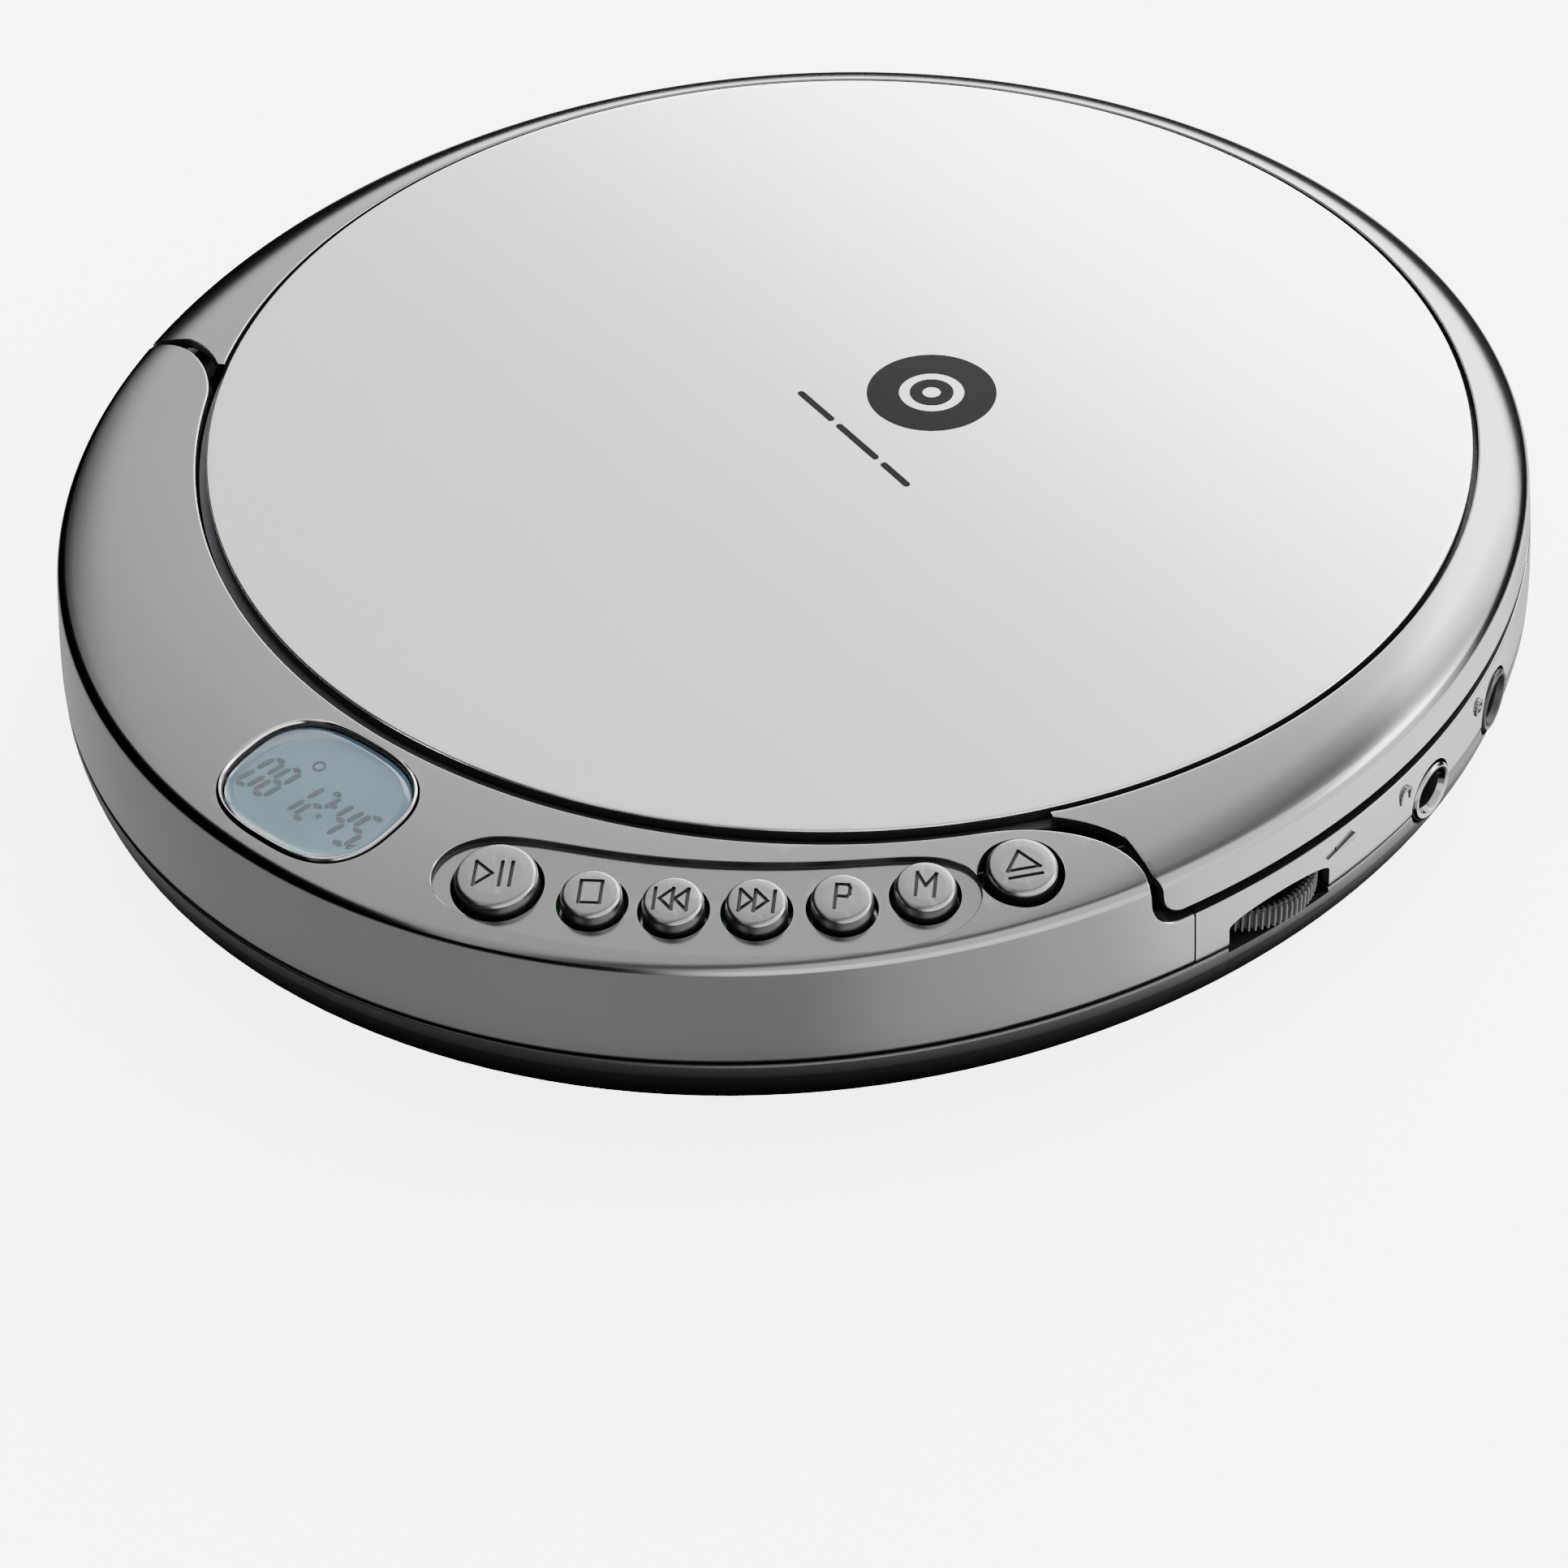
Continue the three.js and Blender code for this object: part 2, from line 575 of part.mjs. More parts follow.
// The band, the wall of the disc bay and the ledge under the tray, without the crescent.
function housingRing(bottom) {
  const ledgeZ = [BAND_TOP_Z - 1.1, BAND_TOP_Z];
  const ledgeR = WELL_R - 2;
  const wellOuter = WELL_R + WELL_WALL;
  const well = closedShell([
    ring(WELL_R, ledgeZ[0]),
    ring(wellOuter, ledgeZ[0]),
    ring(wellOuter, WELL_TOP_Z),
    ring(WELL_R, WELL_TOP_Z),
  ]);
  const ledge = closedShell([
    ring(ledgeR, ledgeZ[0]),
    rim(-1, ledgeZ[0]),
    rim(-1, ledgeZ[1]),
    ring(WELL_R, ledgeZ[1]),
    ring(ledgeR, ledgeZ[1] - 0.2),
  ]);
  const { windowHalf } = CHASSIS;
  const sledPath = box(-windowHalf, windowHalf, -CRESCENT_R - 1, -CRESCENT_R / 2, 0, DECK_Z[0]);
  const band = closedShell(bandProfile(WALL, bottom, BAND_TOP_Z));
  return join(band, cut(join(well, ledge), crescentPlan(0), sledPath));
}

// The crescent: a hollow body that is open below.
function crescentBody(bottom) {
  const wall = 1.4;
  const insideTop = 1.5;
  const openZ = DECK_Z[0] + 0.35;
  const outside = closedShell([
    rim(0, bottom),
    rim(-0.3, BAND_TOP_Z),
    rim(-CREASE_INSET, CREASE_Z),
    ring(CRESCENT_R, CRESCENT_INNER_Z),
    ring(CRESCENT_R, openZ),
    ring(CRESCENT_R + 0.6, bottom),
  ]);
  const inside = closedShell([
    rim(-WALL, bottom - 1),
    rim(-0.3 - WALL, BAND_TOP_Z),
    rim(-CREASE_INSET - WALL, CREASE_Z - insideTop),
    ring(CRESCENT_R + wall, CRESCENT_INNER_Z - insideTop),
    ring(CRESCENT_R + wall, openZ),
    ring(CRESCENT_R - 2, openZ),
    ring(CRESCENT_R - 2, bottom - 1),
  ]);
  return cut(
    common(outside, crescentPlan(0)),
    common(inside, crescentPlan(-1.3)),
    post(CRESCENT_R + wall + 0.05, 0, openZ, 0, 0, SHELL_STEPS),
  );
}

// Holes for the keys, the open button in its dished seat, and the display.
function controlHoles() {
  const keys = FUNCTION_KEYS.map((key) =>
    post(key.capR + KEY_GAP, -KEY_HOLE_DEPTH, KEY_HOLE_DEPTH).applyMatrix4(controlFrame(key.deg, key.r)));
  const boreR = OPEN_KEY.capR + KEY_GAP;
  const seatR = OPEN_KEY.capR + OPEN_KEY_SEAT.margin;
  const above = 3;
  const seat = [
    [0, -KEY_HOLE_DEPTH],
    [boreR, -KEY_HOLE_DEPTH],
    [boreR, OPEN_KEY_SEAT.shoulder],
    [seatR, OPEN_KEY_SEAT.lip],
    [seatR, above],
    [0, above],
  ];
  const open = turned(seat, 28).applyMatrix4(controlFrame(OPEN_KEY.deg, OPEN_KEY.r));
  const display = plate(displayShape(DISPLAY_GAP), -KEY_HOLE_DEPTH, KEY_HOLE_DEPTH);
  return [...keys, open, display.applyMatrix4(controlFrame(DISPLAY.deg, DISPLAY.r))];
}

// The shallow recess that the six function keys stand in.
function keyField() {
  const skin = closedShell([
    rim(-CREASE_INSET, CREASE_Z - RECESS_DEPTH),
    ring(CRESCENT_R, CRESCENT_INNER_Z - RECESS_DEPTH),
    ring(CRESCENT_R, CRESCENT_INNER_Z + 2),
    rim(-CREASE_INSET, CREASE_Z + 2),
  ]);
  return common(skin, keyFieldPlan());
}

function upperHousing() {
  const bottom = SEAM_Z + SEAM_GAP / 2;
  const { middle, barrelR, pinR, y, z } = HINGE;
  const knuckle = join(
    crossBar(barrelR, -middle, middle, y, z, 20),
    box(-middle, middle, y - 1.3, y + 0.5, BAND_TOP_Z - 0.5, z),
  );
  const seatDepth = 2;
  const insertSeat = common(
    closedShell([
      rim(-seatDepth, bottom - 1),
      rim(seatDepth, bottom - 1),
      rim(seatDepth, BAND_TOP_Z + 1),
      rim(-seatDepth, BAND_TOP_Z + 1),
    ]),
    wedge(SIDE_PANEL_DEG[0] - 0.25, SIDE_PANEL_DEG[1] + 0.25),
  );
  const { half, reach, z: slotZ } = LATCH_SLOT;
  const latchSlot = box(-half, half, -reach, reach, ...slotZ)
    .translate(0, -CRESCENT_R, 0)
    .rotateZ(rad(OPEN_KEY.deg));
  const pinHole = crossBar(pinR + RUNNING_GAP, -HINGE.half, HINGE.half, y, z);
  return cut(
    join(housingRing(bottom), crescentBody(bottom), knuckle),
    ...controlHoles(),
    keyField(),
    insertSeat,
    latchSlot,
    pinHole,
  );
}

function sidePanel() {
  const body = closedShell(bandProfile(1.3, SEAM_Z + SEAM_GAP / 2, BAND_TOP_Z));
  return cut(common(body, wedge(...SIDE_PANEL_DEG)), ...sideOpenings());
}

// ---------------------------------------------------------------- lid

// The outer two knuckles, hanging from the frame on webs.
function lidKnuckles() {
  const { y, z, half, middle, barrelR, pinR } = HINGE;
  const near = middle + 0.3;
  return [-1, 1].map((side) => {
    const [from, to] = side > 0 ? [near, half] : [-half, -near];
    const barrel = crossBar(barrelR, from, to, y, z, 20);
    const web = box(from, to, y - 1.2, y + 0.2, z, CREASE_Z - 0.6);
    return cut(join(barrel, web), crossBar(pinR + RUNNING_GAP, -half - 1, half + 1, y, z));
  });
}

function lidFrame() {
  const thickness = 1.2;
  const backingR = PANEL_R - 1.0;
  const frameRing = closedShell([
    ring(PANEL_R + GROOVE, PANEL_EDGE_Z - 0.2),
    rim(-CREASE_INSET, CREASE_Z),
    rim(-SKIRT_INSET, SKIRT_Z),
    rim(-SKIRT_INSET - thickness, SKIRT_Z),
    rim(-CREASE_INSET - thickness, CREASE_Z - 0.9),
    ring(PANEL_R + 1.4, BACKING_Z[0]),
    ring(backingR, BACKING_Z[0]),
    ring(backingR, BACKING_Z[1]),
    ring(PANEL_R + GROOVE, BACKING_Z[1]),
  ]);
  const outer = cut(frameRing, crescentPlan(CRESCENT_GAP));
  const backing = post(PANEL_R - 0.3, ...BACKING_Z, 0, 0, SHELL_STEPS);
  const { y, z, half, barrelR } = HINGE;
  const notchHalf = half + 0.4;
  const hingeNotch = box(-notchHalf, notchHalf, y - 2.2, FAR, 0, z + barrelR + 0.25);
  const hookParts = [
    box(-HOOK.half, HOOK.half, -HOOK.r[1], -HOOK.r[0], HOOK.z[0], BACKING_Z[0] + 0.2),
    box(-HOOK.half, HOOK.half, -HOOK.toeR, -HOOK.r[0], ...HOOK.z),
  ].map((part) => part.rotateZ(rad(OPEN_KEY.deg)));
  return join(cut(join(outer, backing), hingeNotch), ...hookParts, ...lidKnuckles());
}

function lidPanel() {
  const rise = DOME_TOP_Z - PANEL_EDGE_Z;
  const edgeR = PANEL_R - PANEL_BEVEL;
  const profile = [[0, PANEL_BOTTOM_Z], [PANEL_R, PANEL_BOTTOM_Z], [PANEL_R, PANEL_EDGE_Z - 0.4]];
  const domeSteps = 4;
  for (let i = 0; i <= domeSteps; i++) {
    const share = 1 - i / domeSteps;
    profile.push([edgeR * share, PANEL_EDGE_Z + rise * (1 - share * share)]);
  }
  return turned(profile, SHELL_STEPS);
}

function hingePin() {
  const reach = HINGE.half - 0.3;
  return crossBar(HINGE.pinR, -reach, reach, HINGE.y, HINGE.z);
}

// ---------------------------------------------------------------- display and keys

function displayBezel() {
  const shape = displayShape(0);
  shape.holes.push(new THREE.Path(displayShape(-BEZEL_WIDTH).getPoints().reverse()));
  return plate(shape, ...BEZEL_Z);
}

// A push button: a domed cap, a skirt inside the housing, a flange that stops it and a stem.
function keyCap(capR, proud, flange, stemBottom) {
  const edge = 0.55;
  const corner = 0.16;
  return turned([
    [0, stemBottom],
    [KEY_STEM_R, stemBottom],
    [KEY_STEM_R, KEY_FLANGE.bottom],
    [capR + flange, KEY_FLANGE.bottom],
    [capR + flange, KEY_FLANGE.top],
    [capR, KEY_FLANGE.top],
    [capR, proud - edge],
    [capR - corner, proud - corner],
    [capR - edge, proud],
    [0, proud + 0.12],
  ], 18);
}

function keyBoard() {
  const [z0, z1] = KEY_BOARD_Z;
  const innerR = CRESCENT_R + KEY_BOARD.inner;
  const outer = -KEY_BOARD.inset;
  const board = closedShell([ring(innerR, z0), rim(outer, z0), rim(outer, z1), ring(innerR, z1)]);
  const sector = common(board, wedge(...KEY_BOARD.deg));
  const switches = FUNCTION_KEYS.map((key) => {
    const at = planPoint(rad(key.deg), key.r - 0.3);
    const sides = [-SWITCH_HALF, SWITCH_HALF];
    const body = box(...sides, ...sides, z1 - 0.2, z1 + KEY_BOARD.switchHeight);
    return body.translate(at.x, at.y, 0);
  });
  return join(sector, ...switches);
}

// ---------------------------------------------------------------- latch

// The latch and its spring are made with -Y outward, then turned to the open button's angle.
function latchSlider() {
  const block = (half, { r, z }) => box(-half, half, -r[1], -r[0], ...z);
  const nose = block(LATCH_HALF, LATCH_NOSE);
  const arm = block(LATCH_HALF, LATCH_ARM);
  return join(nose, arm, block(LATCH_TAIL.half, LATCH_TAIL));
}

function latchSpring() {
  const { r, z, length, coilR, wireR, turns } = LATCH_SPRING;
  return coil(0, length, coilR, wireR, turns).rotateZ(-Math.PI / 2).translate(0, -r, z);
}

// ---------------------------------------------------------------- side controls

function volumeWheel() {
  const { radius, ridges, z } = WHEEL;
  const valleyR = radius - 0.45;
  const step = (2 * Math.PI) / ridges;
  const ridge = [[0, radius], [0.45, radius], [0.55, valleyR], [0.9, valleyR]];
  const points = [];
  for (let i = 0; i < ridges; i++) {
    for (const [share, r] of ridge) {
      const a = (i + share) * step;
      points.push(new THREE.Vector2(r * Math.cos(a), r * Math.sin(a)));
    }
  }
  const hub = post(WHEEL_HUB.r, z[0] - WHEEL_HUB.below, z[1] + WHEEL_HUB.above, 0, 0, 20);
  const bore = post(SHAFT_R + RUNNING_GAP, 0, HIGH, 0, 0, 16);
  return cut(join(plate(new THREE.Shape(points), ...z), hub), bore);
}

function volumePot() {
  const { halfX, y, under, gap } = POT;
  const body = box(-halfX, halfX, ...y, BOARD_Z[1] + under, WHEEL.z[0] - gap);
  const shaft = post(SHAFT_R, WHEEL.z[0] - 1, WHEEL.z[1] + 0.3, 0, 0, 16);
  return join(body, shaft);
}

// A socket: a metal ring that shows on the wall, on the end of a moulded body; local -Y leaves the wall.
function socket(place, pinR) {
  const { half, front, back, below, above } = SOCKET_BODY;
  const body = box(-half, half, front, back, place.z - below, place.z + above);
  const nose = bar(place.ringR, -0.15, front + 0.2, 0, place.z, 24);
  const bore = bar(place.boreR, -1, SOCKET_DEPTH, 0, place.z, 24);
  const made = cut(join(body, nose), bore);
  return pinR ? join(made, bar(pinR, 2, SOCKET_DEPTH + 0.5, 0, place.z, 12)) : made;
}

// ---------------------------------------------------------------- disc bay and mechanism

function discTray() {
  const deck = post(CRESCENT_R - 0.3, ...DECK_Z, 0, 0, SHELL_STEPS);
  const hubHole = post(HUB_HOLE_R, 0, HIGH, 0, 0, 48);
  const { half, front, lensHalf, lensFront } = TRAY_WINDOW;
  const opening = join(
    box(-half, half, front, 0, 0, HIGH),
    box(-lensHalf, lensHalf, lensFront, 0, 0, HIGH),
  );
  const hookHole = box(-HOOK_HOLE.half, HOOK_HOLE.half, -HOOK_HOLE.r[1], -HOOK_HOLE.r[0], 0, HIGH)
    .rotateZ(rad(OPEN_KEY.deg));
  const { r, bottom, boreR, boreTop } = TRAY_POST;
  const posts = SCREWS.map(([x, y]) =>
    cut(post(r, bottom, DECK_Z[0] + 0.2, x, y, 20), post(boreR, 0, boreTop, x, y, 12)));
  return join(cut(deck, hubHole, opening, hookHole), ...posts);
}

// The plate that carries the motors, the guide rods and the drive gear's post.
function chassis() {
  const [y0, y1] = CHASSIS.y;
  const [windowY0, windowY1] = CHASSIS.windowY;
  const base = box(...CHASSIS.x, y0, y1, ...CHASSIS_Z);
  const lugTop = CHASSIS_Z[0] + 0.2;
  const lugs = [-ROD.x, ROD.x].flatMap((x) => [
    box(x - LUG.half, x + LUG.half, y0, windowY0, LUG.bottom, lugTop),
    box(x - LUG.half, x + LUG.half, windowY1, ROD.y[1] + 0.6, LUG.bottom, lugTop),
  ]);
  const opening = box(-CHASSIS.windowHalf, CHASSIS.windowHalf, windowY0, windowY1, 0, HIGH);
  const corner = box(CHASSIS_CORNER.x, FAR, -FAR, CHASSIS_CORNER.y, 0, HIGH);
  const rodHoles = [-ROD.x, ROD.x].map((x) =>
    bar(ROD.r + RUNNING_GAP, ROD.y[0] - 0.2, ROD.y[1] + 0.2, x, ROD.z));
  const spindleHole = post(4, 0, HIGH);
  const pinionHole = post(1.6, 0, HIGH, pinionX, pinionY);
  const gearPost = post(GEAR_POST_R, CHASSIS_Z[1] - 0.2, GEAR_Z[1] + 0.3, driveX, DRIVE_Y, 16);
  return join(cut(join(base, ...lugs), opening, corner, ...rodHoles, spindleHole, pinionHole), gearPost);
}

function damper() {
  const { r, waistR, flange, taper, height, gap } = DAMPER;
  const top = CHASSIS_Z[0] - gap;
  const bottom = top - height;
  return turned([
    [0, bottom],
    [r, bottom],
    [r, bottom + flange],
    [waistR, bottom + flange + taper],
    [waistR, top - flange - taper],
    [r, top - flange],
    [r, top],
    [0, top],
  ], 12);
}

// One tooth of the sled's rack, in plan, centred on y.
function rackTooth(rootX, y) {
  const rootHalf = 0.56;
  const tipHalf = 0.2;
  const tipX = RACK_PITCH_X + 0.5;
  const outline = [
    [rootX - 0.1, y - rootHalf],
    [rootX, y - rootHalf],
    [tipX, y - tipHalf],
    [tipX, y + tipHalf],
    [rootX, y + rootHalf],
    [rootX - 0.1, y + rootHalf],
  ];
  return plate(new THREE.Shape(outline.map(([px, py]) => new THREE.Vector2(px, py))), ...GEAR_Z);
}

function sled() {
  const { y, z, halfX, upperHalfX, lensY, bushR } = SLED;
  const body = box(-halfX, halfX, y[0], y[1], z[0] + 0.6, z[1] - 0.6);
  const upper = box(-upperHalfX, upperHalfX, y[0] + 1.5, y[1] - 1.5, ...z);
  const bushes = [-ROD.x, ROD.x].map((x) => bar(bushR, y[0], y[1], x, ROD.z, 20));
  const bores = [-ROD.x, ROD.x].map((x) => bar(ROD.r + RUNNING_GAP, y[0] - 1, y[1] + 1, x, ROD.z));
  const lensWell = post(LENS.wellR, LENS.wellBottom, HIGH, 0, lensY);
  const rootX = RACK_PITCH_X - RACK.depth;
  const strip = box(rootX - RACK.back, rootX, ...RACK.y, ...GEAR_Z);
  const bridge = box(halfX - 2, rootX - 0.5, y[0] + 2, y[1] - 2, ...GEAR_Z);
  const pitch = Math.PI * GEAR_MODULE;
  const teeth = [];
  for (let i = 0; i < RACK.teeth; i++) {
    teeth.push(rackTooth(rootX, DRIVE_Y + (RACK.firstTooth + i + 0.5) * pitch));
  }
  return join(cut(join(body, upper, ...bushes), ...bores, lensWell), strip, bridge, ...teeth);
}

function lens() {
  return turned([[0, 16.8], [LENS.r, 16.8], [LENS.r, 18.1], [1.6, 18.4], [0, 18.6]], 24);
}

// A motor can with a blind bore for its shaft.
function motor({ r, boreR }) {
  const can = post(r, MOTOR_BOTTOM_Z, MOTOR_TOP_Z, 0, 0, 32);
  return cut(can, post(boreR, MOTOR_TOP_Z - MOTOR_BORE_DEPTH, HIGH, 0, 0, 16));
}

// A spur gear with straight-sided teeth, the first one centred on +X.
function gear(teeth, boreR) {
  const pitchR = (teeth * GEAR_MODULE) / 2;
  const tipR = pitchR + 0.8 * GEAR_MODULE;
  const rootR = pitchR - 1.2 * GEAR_MODULE;
  const step = (2 * Math.PI) / teeth;
  const tooth = [[-0.27, rootR], [-0.1, tipR], [0.1, tipR], [0.27, rootR]];
  const points = [];
  for (let i = 0; i < teeth; i++) {
    for (const [share, r] of tooth) {
      const a = (i + share) * step;
      points.push(new THREE.Vector2(r * Math.cos(a), r * Math.sin(a)));
    }
  }
  const wheel = plate(new THREE.Shape(points), ...GEAR_Z);
  return boreR ? cut(wheel, post(boreR, 0, HIGH, 0, 0, 16)) : wheel;
}

// The drive gear meshes with the rack on -X; the pinion meshes one tooth round from +X.
const driveR = (DRIVE_TEETH * GEAR_MODULE) / 2;
const pinionR = (PINION_TEETH * GEAR_MODULE) / 2;
const driveX = RACK_PITCH_X + driveR + GEAR_BACKLASH;
const meshAngle = -(2 * Math.PI) / DRIVE_TEETH;
const meshDistance = driveR + pinionR + GEAR_BACKLASH;
const pinionX = driveX + meshDistance * Math.cos(meshAngle);
const pinionY = DRIVE_Y + meshDistance * Math.sin(meshAngle);

// The turntable: shaft, neck, the seat under the disc and the hub through its hole.
function turntable() {
  const shaftR = 1.0;
  const neckR = 3.4;
  const seatR = 14.0;
  const discHoleR = 7.35;
  const grooveR = 8.2;
  const grooveZ = DISC_SEAT_Z - 0.3;
  const dimpleZ = 22.3;
  return turned([
    [0, MOTOR_TOP_Z + 0.25],
    [shaftR, MOTOR_TOP_Z + 0.25],
    [shaftR, 17.0],
    [neckR, 17.0],
    [neckR, 18.6],
    [seatR, DISC_SEAT_Z - 0.9],
    [seatR + 0.2, DISC_SEAT_Z - 0.5],
    [seatR, DISC_SEAT_Z],
    [grooveR, DISC_SEAT_Z],
    [grooveR, grooveZ],
    [discHoleR, grooveZ],
    [discHoleR, DISC_SEAT_Z + 1.2],
    [5.6, dimpleZ + 0.3],
    [2.2, dimpleZ + 0.5],
    [2.0, dimpleZ],
    [0, dimpleZ],
  ], 30);
}

// The chips on the main board: centre, width, depth and height.
const CHIPS = [
  [-44, -12, 12, 9, 1.6],
  [-46, -30, 6, 6, 1.4],
  [48, -36, 8, 5, 1.4],
  [-30, -48, 5, 4, 3.0],
  [44, 2, 5, 4, 1.6],
];

// The main board fills the front of the case, round the battery bay, the bosses and the dampers.
function mainBoard() {
  const [z0, z1] = BOARD_Z;
  const disc = shell([ring(0, z0), rim(-BOARD_INSET, z0), rim(-BOARD_INSET, z1), ring(0, z1)]);
  const cutouts = [
    ...BOARD_CUTS.map((plan) => box(...plan, 0, HIGH)),
    ...SCREWS.map(([x, y]) => post(SCREW.bossR + 0.6, 0, HIGH, x, y)),
    ...DAMPERS.map(([x, y]) => post(DAMPER.bossR + 0.6, 0, HIGH, x, y)),
  ];
  const chips = CHIPS.map(([x, y, width, depth, height]) =>
    box(-width / 2, width / 2, -depth / 2, depth / 2, z1 - 0.2, z1 + height).translate(x, y, 0));
  return join(cut(disc, ...cutouts), ...chips);
}

// ---------------------------------------------------------------- assembly

piece("bottom_case", bottomCase(), FINISH.gunmetal);
piece("battery_door", batteryDoor(), FINISH.gunmetal);
CELL.y.forEach((y, i) => piece(`aa_cell_${i + 1}`, cell(y, i === 0 ? 1 : -1), FINISH.wrap));
const [frontY, rearY] = CELL.y;
const bridge = contact(-1, [{ y: frontY, spring: true }, { y: rearY, spring: false }]);
piece("battery_bridge_contact", bridge, FINISH.steel);
piece("battery_plus_contact", contact(1, [{ y: frontY, spring: false }]), FINISH.steel);
piece("battery_minus_contact", contact(1, [{ y: rearY, spring: true }]), FINISH.steel);
FEET.forEach(([x, y], i) => piece(`foot_${i + 1}`, foot(), FINISH.rubber).position.set(x, y, 0));
SCREWS.forEach(([x, y], i) => piece(`case_screw_${i + 1}`, caseScrew(), FINISH.steel).position.set(x, y, 0));

piece("upper_housing", upperHousing(), FINISH.silver);
piece("side_panel", sidePanel(), FINISH.silver);
piece("lid_frame", lidFrame(), FINISH.silver);
piece("lid_panel", lidPanel(), FINISH.mirror);
piece("hinge_pin", hingePin(), FINISH.steel);

const displayGroup = groupAt(controlFrame(DISPLAY.deg, DISPLAY.r));
piece("display_bezel", displayBezel(), FINISH.mirror, displayGroup);
piece("display_window", plate(displayShape(-BEZEL_WIDTH - 0.15), ...WINDOW_Z), FINISH.clear, displayGroup);
const module = box(-MODULE.halfX, MODULE.halfX, -MODULE.halfY, MODULE.halfY, ...MODULE.z);
piece("display_module", module, FINISH.display, displayGroup);
piece("key_board", keyBoard(), FINISH.board);

for (const key of FUNCTION_KEYS) {
  const sunk = new THREE.Matrix4().makeTranslation(0, 0, -RECESS_DEPTH);
  const frame = controlFrame(key.deg, key.r).multiply(sunk);
  piece(key.name, keyCap(key.capR, KEY_PROUD, 0.4, -2.75), FINISH.satin, groupAt(frame));
}
const openKeyGroup = groupAt(controlFrame(OPEN_KEY.deg, OPEN_KEY.r));
piece(OPEN_KEY.name, keyCap(OPEN_KEY.capR, OPEN_KEY_PROUD, 0.2, -2.3), FINISH.satin, openKeyGroup);
const latchGroup = groupAt(new THREE.Matrix4().makeRotationZ(rad(OPEN_KEY.deg)));
piece("latch_slider", latchSlider(), FINISH.nylon, latchGroup);
piece("latch_spring", latchSpring(), FINISH.steel, latchGroup);

const wheelInward = new THREE.Matrix4().makeTranslation(0, WHEEL.radius - WHEEL.proud, 0);
const wheelGroup = groupAt(sideFrame(WHEEL.deg).multiply(wheelInward));
piece("volume_wheel", volumeWheel(), FINISH.charcoal, wheelGroup);
piece("volume_potentiometer", volumePot(), FINISH.black, wheelGroup);
piece("phones_socket", socket(PHONES, 0), FINISH.steel, groupAt(sideFrame(PHONES.deg)));
piece("power_socket", socket(POWER, POWER_PIN_R), FINISH.black, groupAt(sideFrame(POWER.deg)));

piece("disc_tray", discTray(), FINISH.charcoal);
piece("mechanism_chassis", chassis(), FINISH.black);
DAMPERS.forEach(([x, y], i) => piece(`damper_${i + 1}`, damper(), FINISH.rubber).position.set(x, y, 0));
piece("guide_rod_left", bar(ROD.r, ...ROD.y, -ROD.x, ROD.z), FINISH.steel);
piece("guide_rod_right", bar(ROD.r, ...ROD.y, ROD.x, ROD.z), FINISH.steel);
piece("pickup_sled", sled(), FINISH.black);
piece("objective_lens", lens(), FINISH.lens).position.set(0, SLED.lensY, 0);
piece("spindle_motor", motor(SPINDLE_MOTOR), FINISH.steel);
piece("turntable", turntable(), FINISH.black);
piece("sled_motor", motor(SLED_MOTOR), FINISH.steel).position.set(pinionX, pinionY, 0);
const driveGear = gear(DRIVE_TEETH, GEAR_POST_R + RUNNING_GAP);
piece("drive_gear", driveGear, FINISH.nylon).position.set(driveX, DRIVE_Y, 0);
const pinionShaft = post(0.9, MOTOR_TOP_Z + 0.2, GEAR_Z[0] + 0.1, 0, 0, 16);
const pinion = join(gear(PINION_TEETH, 0), pinionShaft);
const pinionPiece = piece("motor_pinion", pinion, FINISH.brass);
pinionPiece.position.set(pinionX, pinionY, 0);
pinionPiece.rotation.z = meshAngle + Math.PI - Math.PI / PINION_TEETH;
piece("main_board", mainBoard(), FINISH.board);

export default player;
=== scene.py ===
"""Looks of the portable CD player. Lengths in the helpers are millimetres; meshes are written in metres."""
import math

import bmesh
import bpy
import numpy as np
from mathutils import Matrix, Vector


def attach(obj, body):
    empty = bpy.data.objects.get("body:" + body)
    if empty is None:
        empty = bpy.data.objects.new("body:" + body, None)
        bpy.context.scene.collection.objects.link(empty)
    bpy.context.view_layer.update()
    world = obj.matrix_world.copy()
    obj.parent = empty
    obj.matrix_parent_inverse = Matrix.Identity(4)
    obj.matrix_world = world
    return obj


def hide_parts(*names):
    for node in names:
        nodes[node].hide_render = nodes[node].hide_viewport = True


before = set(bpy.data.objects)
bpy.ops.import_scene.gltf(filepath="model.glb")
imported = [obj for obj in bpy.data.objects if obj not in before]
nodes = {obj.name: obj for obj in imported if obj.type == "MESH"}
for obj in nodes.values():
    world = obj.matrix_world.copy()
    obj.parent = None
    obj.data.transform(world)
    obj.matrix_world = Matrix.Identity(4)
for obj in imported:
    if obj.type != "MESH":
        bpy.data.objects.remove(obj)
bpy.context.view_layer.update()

# ---------------------------------------------------------------- driving dimensions, mm

